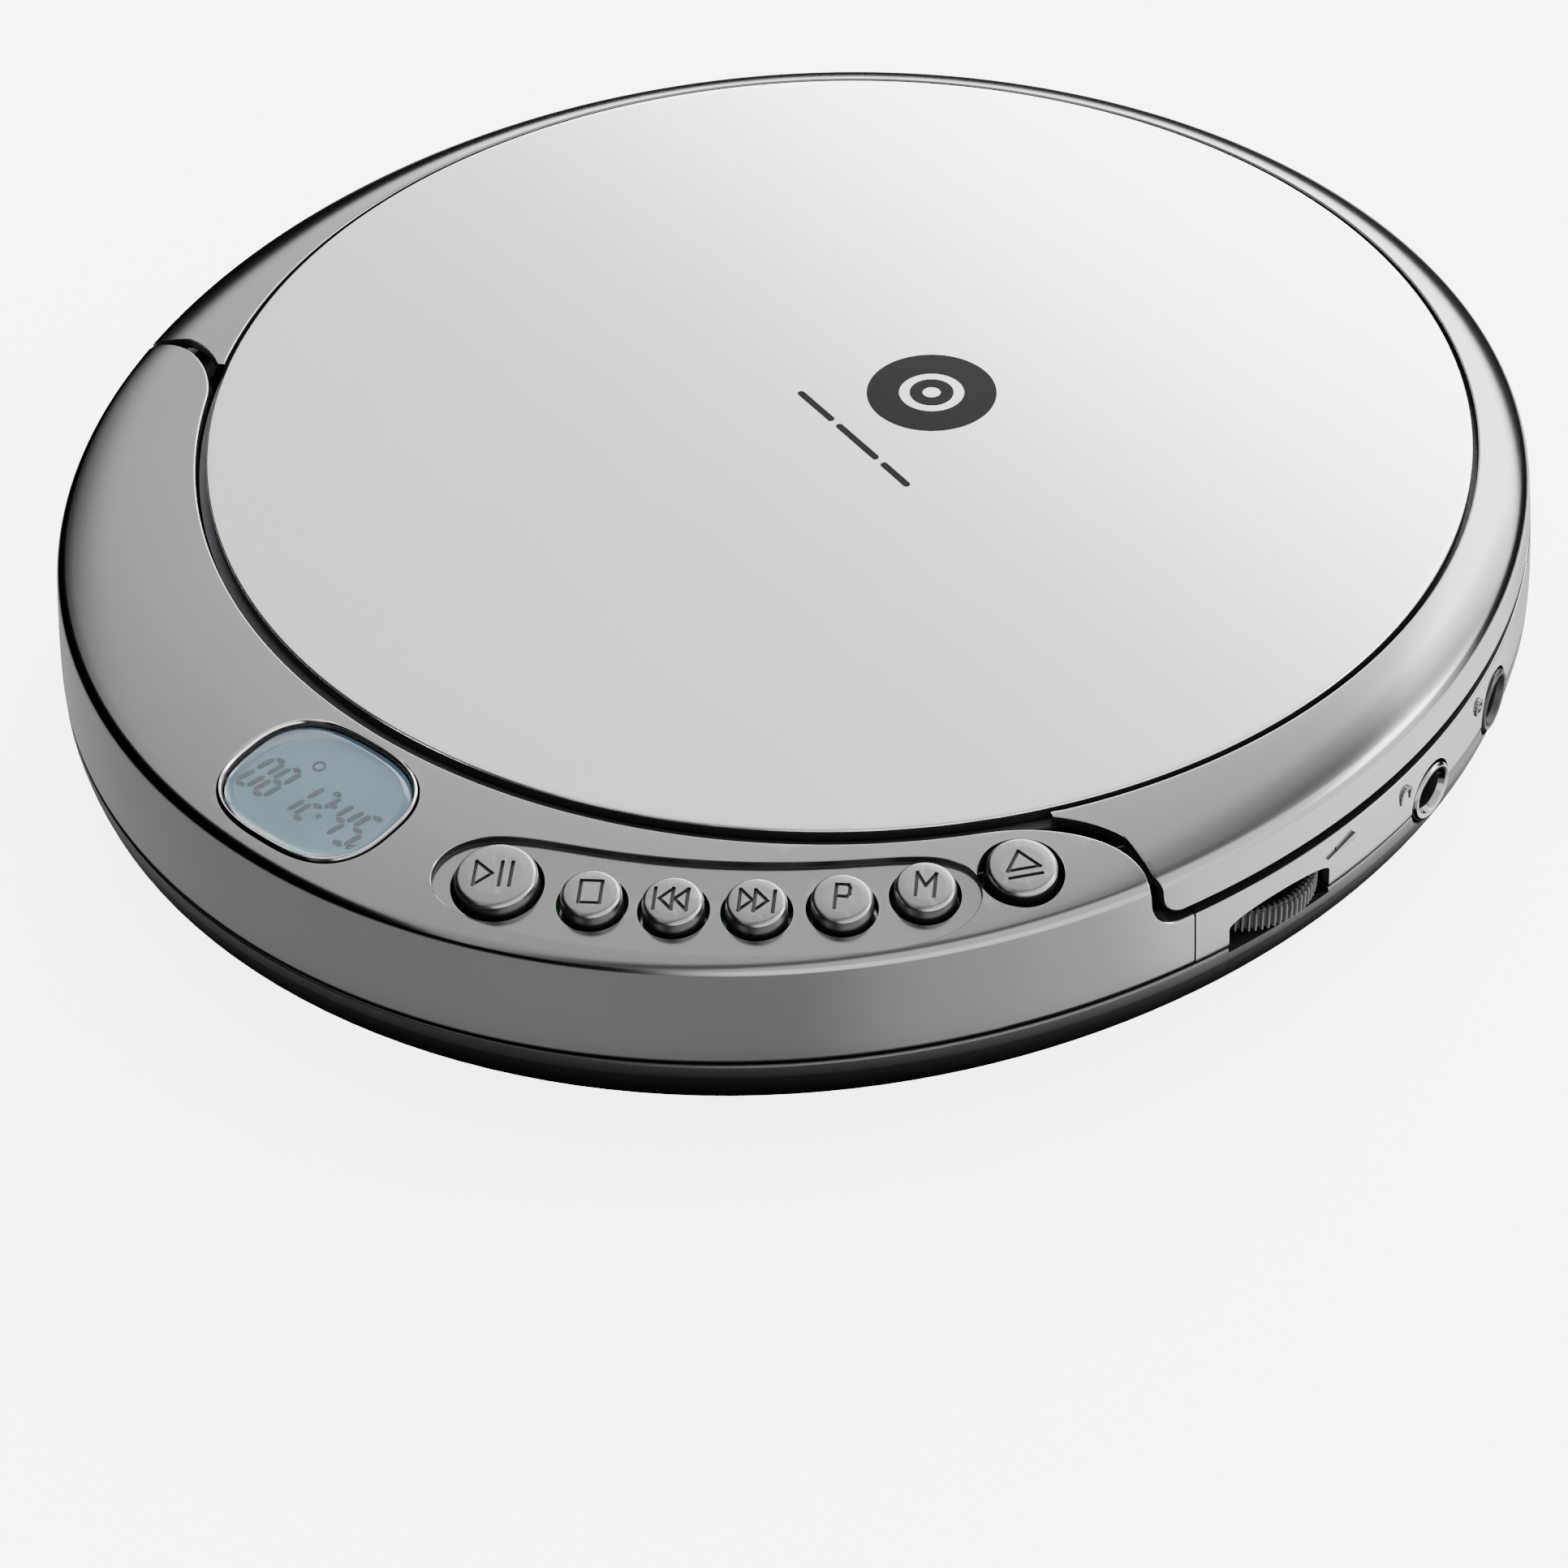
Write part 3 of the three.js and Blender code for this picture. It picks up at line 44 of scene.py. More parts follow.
MM = 0.001
TAU = 2 * math.pi
OUTLINE = (70.12, 5.8, 2.4, 0.4)
SPINDLE_Y = 6.2
BASE_Z = 1.0
SEAM_LOW = 13.05
SEAM_HIGH = 13.35
BAND_TOP = 18.7
HINGE_BAND_TOP = 18.05
SKIRT_Z = 19.7
CREASE_Z = 23.4
CREASE_INSET = 0.9
CREASE_REACH = 0.85
CROWN = 0.5
WALL_CURVE = 1.35
SKIN = 1.1
PANEL_R = 60.0
PANEL_BOTTOM = 24.7
PANEL_EDGE = 26.0
DOME_TOP = 27.45
GROOVE = 0.5
CRESCENT_R = 61.0
CRESCENT_Z = 25.4
TIP_START = 53.0
TIP_END = {"right": 63.4, "left": 62.0}
HOUSING_CORNER = 3.0
LID_CORNER = 2.0
GAP = 1.2
RECESS = 0.35
FIELD_DEPTH = 0.65
INSERT_DEG = (67.0, 118.0)
HINGE = {"y": 65.0, "z": 19.6, "r": 1.35, "half": 9.0, "middle": 4.4}
KEYS = [
    ("play_button", 17.2, 70.3, 3.6),
    ("stop_button", 24.1, 69.7, 2.65),
    ("previous_button", 29.8, 69.0, 2.65),
    ("next_button", 35.6, 68.3, 2.65),
    ("program_button", 41.6, 67.6, 2.65),
    ("mode_button", 47.6, 66.7, 2.65),
]
OPEN_KEY = ("open_button", 54.8, 66.0, 3.05)
ICON_DEG = 36.0
KEY_RING = 0.42
OPEN_RING = 0.62
KEY_PROUD = 0.95
OPEN_PROUD = 0.85
FIELD = {"before": 4.6, "after": 4.0, "outward": (0.2, 0.3), "half": (5.2, 4.7), "sharpness": 7}
DISPLAY = {"deg": 0.8, "r": 69.1, "x": 8.9, "y": 7.0, "power": 2.7}
DISPLAY_FLOOR = -1.6
INK = 0.04
WHEEL = {"deg": 74.8, "radius": 7.3, "proud": 0.6, "z": (13.1, 15.2), "ridges": 76}
SLOT = {"half": 5.95, "bottom": 12.6, "shoulder": 15.2, "top": 16.4}
PHONES = {"deg": 92.9, "z": 13.8, "ring": 2.85, "bore": 1.8}
POWER = {"deg": 105.0, "z": 14.0, "ring": 3.0, "bore": 2.1}
WELL = {"r": 61.6, "wall": 1.4, "z": (17.0, 22.5)}
DECK = (18.2, 19.2)
DISC_SEAT = 20.5
LENS_Y = -25.0
BACKING_Z = (23.5, 24.4)
EMBLEM = {"x": 6.0, "y": 6.8, "r": 6.2, "bars_at": (-3.7, -1.25), "turn": -14.6}
EMBLEM_BARS = [(0.0, 5.7), (6.5, 13.1), (13.9, 18.2)]
DOOR = {"half": 30.1, "front": 12.9, "top": 1.9}
BAY = {"half": 29.6, "front": 12.6, "rear": 43.4, "top": 17.3}
FEET = [(38, 29), (-38, 29), (38, -44), (-38, -44)]
SCREWS = [(44, 16), (-44, 16), (40, -34), (-40, -34)]

# ---------------------------------------------------------------- camera, floor and light

CAMERA = {"lens": 96.9, "distance": 401.9, "azimuth": 43.0, "elevation": 40.85, "roll": -1.79}
CAMERA_AIM = (11.27, -14.96, -0.5)

# The room's brightness: above the horizon it grows towards the back, with a dark wall on the left and a dim
# strip high on the right; below it grows from the front left to the back right. Each part is a product.
ROOM_SCALE = 9.0
UPPER_ROOM = [
    ((0.03, 0.96, -0.28), [
        (-1.0, 0.75), (-0.1, 1.02), (0.0, 1.13), (0.24, 1.42), (0.38, 1.5), (0.45, 2.6), (0.52, 9.0),
    ]),
    ((0.0, 0.0, 1.0), [(0.12, 0.0), (0.3, 1.0)]),
    ((-0.85, -0.53, 0.0), [(0.5, 1.0), (0.62, 0.0)]),
    ((1.0, 0.0, 0.0), [(0.0, 1.0), (0.16, 0.5), (0.32, 0.2), (0.42, 0.4), (0.6, 1.6)]),
]
LOWER_ROOM = [
    ((0.6, 0.8, 0.0), [
        (-0.9, 0.5), (-0.49, 0.52), (-0.1, 0.5), (0.24, 0.9), (0.52, 1.2), (0.74, 2.6), (0.83, 3.2),
    ]),
    ((0.0, 0.0, 1.0), [(-0.76, 0.0), (-0.6, 1.0), (-0.4, 1.0), (-0.24, 0.0)]),
]
RIGHT_GLOW = [
    ((1.0, 0.0, 0.0), [(0.42, 0.0), (0.7, 2.6)]),
    ((0.0, 0.0, 1.0), [(-0.36, 0.0), (-0.24, 1.0), (0.14, 1.0), (0.3, 0.0)]),
]
FLOOR = {"reach": 3.0, "grey": 0.93, "glow": 5.0}
TOP_LIGHT = {"place": (0.2, -0.2, 2.0), "size": 2.4, "level": 3.0}


def linked(name, data):
    """A new object in the scene."""
    obj = bpy.data.objects.new(name, data)
    bpy.context.scene.collection.objects.link(obj)
    return obj


def add_camera():
    azimuth, elevation, roll = (math.radians(CAMERA[k]) for k in ("azimuth", "elevation", "roll"))
    back = Vector((
        math.sin(azimuth) * math.cos(elevation),
        -math.cos(azimuth) * math.cos(elevation),
        math.sin(elevation),
    ))
    data = bpy.data.cameras.new("camera")
    data.lens = CAMERA["lens"]
    data.sensor_width = 36
    data.clip_start = 0.01
    camera = linked("camera", data)
    turn = back.to_track_quat("Z", "Y").to_matrix().to_4x4() @ Matrix.Rotation(roll, 4, "Z")
    place = (Vector(CAMERA_AIM) + back * CAMERA["distance"]) * MM
    camera.matrix_world = Matrix.Translation(place) @ turn
    bpy.context.scene.camera = camera


def add_top_light():
    """A soft box over the table that doesn't appear in reflections."""
    place, size = TOP_LIGHT["place"], TOP_LIGHT["size"]
    data = bpy.data.lights.new("top_light", "AREA")
    data.shape = "RECTANGLE"
    data.size = size
    data.size_y = size
    data.energy = TOP_LIGHT["level"] * math.pi * size * size
    light = linked("top_light", data)
    light.location = place
    light.visible_glossy = False
    light.rotation_euler = (-Vector(place)).to_track_quat("-Z", "Y").to_euler()


def add_floor():
    """Pale paper that glows a little, and doesn't appear in reflections either."""
    mesh = bpy.data.meshes.new("floor")
    reach, grey = FLOOR["reach"], FLOOR["grey"]
    corners = [(-reach, -reach, 0), (reach, -reach, 0), (reach, reach, 0), (-reach, reach, 0)]
    mesh.from_pydata(corners, [], [(0, 1, 2, 3)])
    floor = linked("floor", mesh)
    paper = bpy.data.materials.new("floor_paper")
    paper.use_nodes = True
    shader = paper.node_tree.nodes["Principled BSDF"]
    shader.inputs["Base Color"].default_value = (grey, grey, grey, 1)
    shader.inputs["Roughness"].default_value = 0.7
    shader.inputs["Emission Color"].default_value = (1, 1, 1, 1)
    shader.inputs["Emission Strength"].default_value = FLOOR["glow"]
    mesh.materials.append(paper)
    floor.visible_glossy = False


def graded(tree, way, stops, scale=1.0):
    """A brightness that follows the share of one direction, through (share, level) stops."""
    along = tree.nodes.new("ShaderNodeVectorMath")
    along.operation = "DOT_PRODUCT"
    along.inputs[1].default_value = way
    tree.links.new(tree.nodes.new("ShaderNodeTexCoord").outputs["Generated"], along.inputs[0])
    place = tree.nodes.new("ShaderNodeMapRange")
    place.inputs["From Min"].default_value = -1
    tree.links.new(along.outputs["Value"], place.inputs["Value"])
    ramp = tree.nodes.new("ShaderNodeValToRGB")
    ramp.color_ramp.interpolation = "EASE"
    elements = ramp.color_ramp.elements
    for i, (share, level) in enumerate(stops):
        element = elements[i] if i < 2 else elements.new(1.0)
        element.position = (share + 1) / 2
        element.color = (level / scale, level / scale, level / scale, 1)
    tree.links.new(place.outputs["Result"], ramp.inputs[0])
    return ramp.outputs[0]


def combined(tree, a, b, operation):
    node = tree.nodes.new("ShaderNodeMath")
    node.operation = operation
    tree.links.new(a, node.inputs[0])
    tree.links.new(b, node.inputs[1])
    return node.outputs[0]


def add_world():
    """A studio that is bright above and behind, dim below and dark along the horizon and underneath."""
    world = bpy.data.worlds.new("studio")
    bpy.context.scene.world = world
    world.use_nodes = True
    tree = world.node_tree
    background = tree.nodes["Background"]
    background.inputs["Strength"].default_value = ROOM_SCALE
    total = None
    for room in (UPPER_ROOM, LOWER_ROOM, RIGHT_GLOW):
        product = graded(tree, *room[0], ROOM_SCALE)
        for way, stops in room[1:]:
            product = combined(tree, product, graded(tree, way, stops), "MULTIPLY")
        total = combined(tree, total, product, "ADD") if total else product
    tree.links.new(total, background.inputs[0])


# ---------------------------------------------------------------- materials


def ramp_range(tree, source, low, high):
    """Turns a 0 to 1 value into one between low and high."""
    node = tree.nodes.new("ShaderNodeMapRange")
    node.inputs["To Min"].default_value = low
    node.inputs["To Max"].default_value = high
    tree.links.new(source, node.inputs["Value"])
    return node.outputs["Result"]


def noise(tree, scale, stretch=None):
    """Noise in object space; scale is the size of a patch in millimetres."""
    where = tree.nodes.new("ShaderNodeTexCoord").outputs["Object"]
    if stretch:
        mapping = tree.nodes.new("ShaderNodeMapping")
        mapping.inputs["Scale"].default_value = stretch
        tree.links.new(where, mapping.inputs["Vector"])
        where = mapping.outputs["Vector"]
    node = tree.nodes.new("ShaderNodeTexNoise")
    node.inputs["Scale"].default_value = 1 / (scale * MM)
    node.inputs["Detail"].default_value = 3.0
    tree.links.new(where, node.inputs["Vector"])
    return node.outputs["Fac"]


def mixed(tree, share, low, high):
    """A colour between two others."""
    node = tree.nodes.new("ShaderNodeMix")
    node.data_type = "RGBA"
    node.inputs["A"].default_value = (*low, 1)
    node.inputs["B"].default_value = (*high, 1)
    tree.links.new(share, node.inputs["Factor"])
    return node.outputs["Result"]


def finish_of(name, color, metallic, roughness, spread, patch, grain, bump, wear=0.0, stretch=None):
    """A surface with patchy colour, uneven gloss, a fine grain and lighter worn edges.

    spread is the share the colour varies by; patch, grain and bump are the sizes of a colour patch and of
    the grain and the grain's depth, in millimetres.
    """
    made = bpy.data.materials.new(name)
    made.use_nodes = True
    tree = made.node_tree
    shader = tree.nodes["Principled BSDF"]
    shader.inputs["Metallic"].default_value = metallic
    low = tuple(c * (1 - spread) for c in color)
    high = tuple(min(1.0, c * (1 + spread)) for c in color)
    shade = mixed(tree, noise(tree, patch, stretch), low, high)
    if wear:
        rub = tree.nodes.new("ShaderNodeNewGeometry").outputs["Pointiness"]
        edge = tree.nodes.new("ShaderNodeMapRange")
        edge.inputs["From Min"].default_value = 0.53
        edge.inputs["From Max"].default_value = 0.62
        edge.inputs["To Max"].default_value = wear
        tree.links.new(rub, edge.inputs["Value"])
        worn = tree.nodes.new("ShaderNodeMix")
        worn.data_type = "RGBA"
        worn.inputs["B"].default_value = (*(min(1.0, c * 1.5 + 0.05) for c in color), 1)
        tree.links.new(edge.outputs["Result"], worn.inputs["Factor"])
        tree.links.new(shade, worn.inputs["A"])
        shade = worn.outputs["Result"]
    tree.links.new(shade, shader.inputs["Base Color"])
    fine = noise(tree, grain, stretch)
    tree.links.new(ramp_range(tree, fine, *roughness), shader.inputs["Roughness"])
    lift = tree.nodes.new("ShaderNodeBump")
    lift.inputs["Strength"].default_value = 1.0
    lift.inputs["Distance"].default_value = bump * MM
    tree.links.new(fine, lift.inputs["Height"])
    tree.links.new(lift.outputs["Normal"], shader.inputs["Normal"])
    return made


def board_finish():
    """Green lacquer over a grid of copper tracks."""
    made = finish_of("circuit_board", (0.02, 0.12, 0.05), 0.1, (0.25, 0.45), 0.2, 3.0, 0.3, 0.02)
    tree = made.node_tree
    shader = tree.nodes["Principled BSDF"]
    where = tree.nodes.new("ShaderNodeTexCoord").outputs["Object"]
    brick = tree.nodes.new("ShaderNodeTexBrick")
    brick.inputs["Scale"].default_value = 260
    brick.inputs["Mortar Size"].default_value = 0.09
    brick.inputs["Color1"].default_value = (0.015, 0.10, 0.04, 1)
    brick.inputs["Color2"].default_value = (0.02, 0.14, 0.06, 1)
    brick.inputs["Mortar"].default_value = (0.06, 0.24, 0.09, 1)
    tree.links.new(where, brick.inputs["Vector"])
    tree.links.new(brick.outputs["Color"], shader.inputs["Base Color"])
    return made


def clear_finish():
    """Clear plastic for the display window."""
    made = finish_of("clear_window", (0.93, 0.97, 0.98), 0.0, (0.02, 0.05), 0.01, 5.0, 1.0, 0.001)
    shader = made.node_tree.nodes["Principled BSDF"]
    shader.inputs["Transmission Weight"].default_value = 1.0
    shader.inputs["IOR"].default_value = 1.49
    return made


def glass_finish():
    """The coated lens of the pickup."""
    made = finish_of("lens_glass", (0.10, 0.13, 0.30), 0.0, (0.03, 0.06), 0.2, 1.0, 0.5, 0.001)
    shader = made.node_tree.nodes["Principled BSDF"]
    shader.inputs["IOR"].default_value = 1.7
    shader.inputs["Coat Weight"].default_value = 1.0
    shader.inputs["Coat Tint"].default_value = (0.5, 0.6, 1.0, 1)
    return made


def print_and_shade_finish():
    """Flat black ink on the lid, also painted shade on the volume wheel's flat faces."""
    made = finish_of("lid_print_and_wheel_shade", (0.003, 0.003, 0.003), 0.0, (0.35, 0.5), 0.2, 1.0, 0.2, 0.001)
    made.node_tree.nodes["Principled BSDF"].inputs["Specular IOR Level"].default_value = 0.06
    return made


# The values of finish_of: colour, metallic, roughness, spread, patch, grain, bump, wear and stretch.
PLAIN = {
    "silver_lacquer": ((0.31, 0.31, 0.314), 1.0, (0.13, 0.19), 0.03, 9, 0.18, 0.0012, 0.4),
    "lid_mirror": ((0.84, 0.84, 0.845), 0.97, (0.16, 0.22), 0.02, 14, 0.2, 0.001, 0.3),
    "satin_key": ((0.33, 0.33, 0.334), 1.0, (0.24, 0.34), 0.04, 2, 0.12, 0.004, 0.4),
    "bright_trim": ((0.72, 0.72, 0.73), 1.0, (0.07, 0.12), 0.03, 3, 0.2, 0.001, 0.2),
    "graphite_shell": ((0.12, 0.121, 0.124), 1.0, (0.26, 0.44), 0.05, 5, 0.1, 0.012),
    # Black plastic parts; the same finish also paints the walls of gaps, holes and recesses black as shade.
    "black_plastic": ((0.006, 0.006, 0.0065), 0.0, (0.3, 0.5), 0.2, 3, 0.25, 0.02),
    "charcoal_tray": ((0.022, 0.023, 0.025), 0.0, (0.42, 0.62), 0.15, 4, 0.3, 0.05, 0.2),
    "charcoal_wheel": ((0.022, 0.022, 0.023), 0.0, (0.35, 0.5), 0.15, 1, 0.15, 0.02, 0.5),
    "rubber": ((0.018, 0.018, 0.019), 0.0, (0.7, 0.9), 0.2, 2, 0.2, 0.04, 0.2),
    "steel": ((0.52, 0.52, 0.53), 1.0, (0.18, 0.38), 0.06, 2, 0.25, 0.008, 0.2, (1, 1, 0.08)),
    "nickel": ((0.66, 0.64, 0.60), 1.0, (0.12, 0.22), 0.05, 1, 0.2, 0.003, 0.3),
    "brass": ((0.66, 0.46, 0.18), 1.0, (0.2, 0.32), 0.08, 1, 0.2, 0.006, 0.2),
    "nylon": ((0.72, 0.70, 0.64), 0.0, (0.38, 0.55), 0.04, 2, 0.25, 0.012),
    "cell_wrap": ((0.03, 0.13, 0.26), 0.35, (0.2, 0.34), 0.1, 6, 0.6, 0.004, 0.2, (0.1, 1, 1)),
    "display_glass": ((0.125, 0.215, 0.27), 0.0, (0.12, 0.2), 0.05, 5, 0.3, 0.001),
    "display_ink": ((0.03, 0.045, 0.055), 0.0, (0.3, 0.45), 0.15, 0.8, 0.1, 0.001),
}
FINISH = {name: finish_of(name, *values) for name, values in PLAIN.items()}
FINISH["circuit_board"] = board_finish()
FINISH["clear_window"] = clear_finish()
FINISH["lens_glass"] = glass_finish()
FINISH["lid_print_and_wheel_shade"] = print_and_shade_finish()

# ---------------------------------------------------------------- mesh helpers


def mesh_of(name, solid, place=None):
    """A mesh from (points in mm, faces, material index of each face)."""
    points, faces, indices = solid
    matrix = place or Matrix.Identity(4)
    mesh = bpy.data.meshes.new(name)
    mesh.from_pydata([matrix @ Vector(p) for p in points], [], faces)
    mesh.polygons.foreach_set("material_index", indices)
    work = bmesh.new()
    work.from_mesh(mesh)
    bmesh.ops.remove_doubles(work, verts=work.verts, dist=2e-3)
    bmesh.ops.dissolve_degenerate(work, edges=work.edges, dist=1e-3)
    bmesh.ops.recalc_face_normals(work, faces=work.faces)
    work.to_mesh(mesh)
    work.free()
    return mesh


def smooth(obj, degrees=32):
    mesh = obj.data
    mesh.polygons.foreach_set("use_smooth", [True] * len(mesh.polygons))
    mesh.set_sharp_from_angle(angle=math.radians(degrees))


def piece(name, solid, slots, body, place=None, node=None, tools=(), common=(), degrees=32, weighted=False,
          bevel=0.0):
    """A shown piece that rides on a body and may stand for a CAD node. Its first finish is its slot."""
    obj = linked(name, mesh_of(name, solid, place))
    for slot in slots:
        obj.data.materials.append(FINISH[slot])
    carve(obj, tools, "DIFFERENCE")
    carve(obj, common, "INTERSECT")
    if bevel:
        edge = obj.modifiers.new("edge", "BEVEL")
        edge.width = bevel
        edge.segments = 2
        edge.limit_method = "ANGLE"
        edge.angle_limit = math.radians(40)
        settle(obj)
    obj.data.transform(Matrix.Scale(MM, 4))
    smooth(obj, degrees)
    if weighted:
        normals = obj.modifiers.new("normals", "WEIGHTED_NORMAL")
        normals.keep_sharp = True
    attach(obj, body)
    if node:
        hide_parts(node)


def settle(obj):
    """Applies an object's modifiers."""
    depsgraph = bpy.context.evaluated_depsgraph_get()
    mesh = bpy.data.meshes.new_from_object(obj.evaluated_get(depsgraph))
    obj.modifiers.clear()
    old = obj.data
    obj.data = mesh
    bpy.data.meshes.remove(old)
    mesh.name = obj.name


def tool(solid, place=None):
    """A cutting shape that isn't shown."""
    return linked("tool", mesh_of("tool", solid, place))


def carve(obj, tools, operation):
    """Cuts an object with tools and removes them."""
    if not tools:
        return
    for cutter in tools:
        step = obj.modifiers.new("carve", "BOOLEAN")
        step.operation = operation
        step.solver = "EXACT"
        step.object = cutter
    settle(obj)
    for cutter in tools:
        mesh = cutter.data
        bpy.data.objects.remove(cutter)
        bpy.data.meshes.remove(mesh)


def rounded(corners, steps=5, closed=True):
    """Points of a profile whose corners, given as (x, y, radius), are rounded."""
    points = []
    count = len(corners)
    for i, (x, y, radius) in enumerate(corners):
        here = np.array((x, y), float)
        if not radius or (not closed and i in (0, count - 1)):
            points.append(tuple(here))
            continue
        before = np.array(corners[i - 1][:2], float) - here
        after = np.array(corners[(i + 1) % count][:2], float) - here
        long_a, long_b = np.hypot(*before), np.hypot(*after)
        a, b = before / long_a, after / long_b
        half = math.acos(float(np.clip(a @ b, -1, 1))) / 2
        reach = min(radius / math.tan(half), 0.48 * long_a, 0.48 * long_b)
        radius = reach * math.tan(half)
        centre = here + (a + b) / np.hypot(*(a + b)) * radius / math.sin(half)
        start, stop = here + a * reach - centre, here + b * reach - centre
        turn = math.pi - 2 * half
        for k in range(steps + 1):
            share = k / steps
            mix = (math.sin((1 - share) * turn) * start + math.sin(share * turn) * stop) / math.sin(turn)
            points.append(tuple(centre + mix))
    return points


def lofted(rings, closed=True, around=True, index=None, caps=False, cap_index=0):
    """Joins rings of points. closed: each ring is a loop. around: the last ring meets the first."""
    count = len(rings[0])
    points = [p for ring in rings for p in ring]
    faces, indices = [], []
    for i in range(len(rings) if around else len(rings) - 1):
        a, b = i * count, (i + 1) % len(rings) * count
        for j in range(count if closed else count - 1):
            k = (j + 1) % count
            faces.append((a + j, a + k, b + k, b + j))
            indices.append(index[j] if index else 0)
    if caps:
        faces += [tuple(range(count)), tuple(range(len(points) - count, len(points)))]
        indices += [cap_index, cap_index]
    return points, faces, indices


def spun(profile, steps):
    """The places of a (radius, height) profile as it turns about Z."""
    rings = []
    for i in range(steps):
        a = TAU * i / steps
        rings.append([(r * math.cos(a), r * math.sin(a), z) for r, z in profile])
    return rings


def turned(profile, steps=96, index=None):
    """A solid turned about Z from (radius, height) points that start and end on the axis."""
    return lofted(spun(profile, steps), closed=False, index=index)


def ring_solid(profile, steps=96):
    """A ring turned about Z from a closed loop of (radius, height) points."""
    return lofted(spun(profile, steps))


def stacked(outline_at, levels, index=None, cap_index=0):
    """Layers of one outline: levels are (grow, z), outline_at(grow) gives its points."""
    rings = [[(x, y, z) for x, y in outline_at(grow)] for grow, z in levels]
    points, faces, indices = lofted(rings, around=False, caps=True, cap_index=cap_index)
    if index:
        count = len(rings[0])
        for i, value in enumerate(index):
            indices[i * count:(i + 1) * count] = [value] * count
    return points, faces, indices


def block(x0, x1, y0, y1, z0, z1, edge=0.0, index=0):
    """A block with its upright corners and its rims rounded."""
    if not edge:
        plan_points = [(x0, y0), (x1, y0), (x1, y1), (x0, y1)]
        points, faces, indices = stacked(lambda grow: plan_points, [(0, z0), (0, z1)])
        return points, faces, [index] * len(indices)
    cx, cy, hx, hy = (x0 + x1) / 2, (y0 + y1) / 2, (x1 - x0) / 2, (y1 - y0) / 2

    def outline_at(grow):
        w, h = hx + grow, hy + grow
        r = max(edge + grow, edge * 0.3)
        corners = [(-w, -h, r), (w, -h, r), (w, h, r), (-w, h, r)]
        return [(cx + x, cy + y) for x, y in rounded(corners, 4)]

    soft = min(edge, (z1 - z0) / 2.2)
    bend = [(-soft * (1 - math.sin(a)), soft * (1 - math.cos(a))) for a in (0, 0.5, 1.05, math.pi / 2)]
    levels = [(g, z0 + d) for g, d in bend] + [(g, z1 - d) for g, d in reversed(bend)]
    points, faces, indices = stacked(outline_at, levels)
    return points, faces, [index] * len(indices)


def together(*solids):
    points, faces, indices = [], [], []
    for more_points, more_faces, more_indices in solids:
        start = len(points)
        points += [tuple(p) for p in more_points]
        faces += [tuple(start + i for i in face) for face in more_faces]
        indices += more_indices
    return points, faces, indices


def moved(solid, matrix):
    points, faces, indices = solid
    return [tuple(matrix @ Vector(p)) for p in points], faces, indices


# ---------------------------------------------------------------- the outer surface


def outline(t):
    mean, shift, oval, egg = OUTLINE
    return mean + shift * math.cos(t) + oval * math.cos(2 * t) + egg * math.cos(3 * t)


def plan(t, r, z):
    return Vector((r * math.sin(t), SPINDLE_Y - r * math.cos(t), z))


def at_spindle(x=0, y=0, z=0):
    return Matrix.Translation((x, y + SPINDLE_Y, z))


def crescent_frame(deg, r, sunk=0.0):
    """The frame of a control on the crescent: local Z leaves the surface, local Y points to the spindle."""
    t = math.radians(deg)
    slope = (CRESCENT_Z - CREASE_Z) / (outline(t) - CREASE_INSET - CRESCENT_R)
    z = CRESCENT_Z - (r - CRESCENT_R) * slope
    lean = Matrix.Rotation(math.atan(slope), 4, "X")
    turn = at_spindle() @ Matrix.Rotation(t, 4, "Z") @ Matrix.Translation((0, -r, z)) @ lean
    share = (r - CRESCENT_R) / (outline(t) - CREASE_INSET - CRESCENT_R)
    lift = CROWN * 4 * share * (1 - share)
    return turn @ Matrix.Translation((0, 0, lift - sunk))


def side_frame(deg):
    t = math.radians(deg)
    return at_spindle() @ Matrix.Rotation(t, 4, "Z") @ Matrix.Translation((0, -outline(t), 0))


def wall_point(t, z):
    """The side wall's curve, from the seam to the crease."""
    rise = max(0.0, (z - SEAM_HIGH) / (CREASE_Z - SEAM_HIGH))
    return np.array((outline(t) - CREASE_INSET * rise ** WALL_CURVE, z))


HOUSING = {"inner": (CRESCENT_R, CRESCENT_Z), "bottom": SEAM_HIGH}
LID = {"inner": (PANEL_R + GROOVE, PANEL_EDGE - 0.2), "bottom": SKIRT_Z}
TURN_Z = CREASE_Z - CREASE_REACH


def surface(kind, t, w):
    """The shell: w is 0 at the inner ring, 1 to 2 round the crease and 3 at the bottom of the wall."""
    inner = np.array(kind["inner"])
    crease = np.array((outline(t) - CREASE_INSET, CREASE_Z))
    run = crease - inner
    length = float(np.hypot(*run))
    up = np.array((-run[1], run[0])) / length
    share = 1 - CREASE_REACH / length
    if w <= 1:
        s = share * w
        r, z = inner + run * s + up * CROWN * 4 * s * (1 - s)
    elif w <= 2:
        s = w - 1
        first = inner + run * share + up * CROWN * 4 * share * (1 - share)
        last = wall_point(t, TURN_Z)
        r, z = first * (1 - s) ** 2 + crease * 2 * s * (1 - s) + last * s * s
    else:
        r, z = wall_point(t, TURN_Z + (kind["bottom"] - TURN_Z) * (w - 2))
    return plan(t, r, z)


def outward(kind, t, w):
    step = 1e-3
    along = surface(kind, t + step, w) - surface(kind, t - step, w)
    down = surface(kind, t, w + step) - surface(kind, t, w - step)
    return down.cross(along).normalized()


LEVELS = [0.05, 0.14, 0.26, 0.38, 0.5, 0.62, 0.74, 0.85, 0.94, 1.0, 1.15, 1.3, 1.45, 1.6, 1.75, 1.9, 2.0,
          2.06, 2.16, 2.3, 2.45, 2.6, 2.75, 2.87, 2.95]
ARC = [math.pi / 2 * k / 4 for k in range(5)]
INSIDE = 8


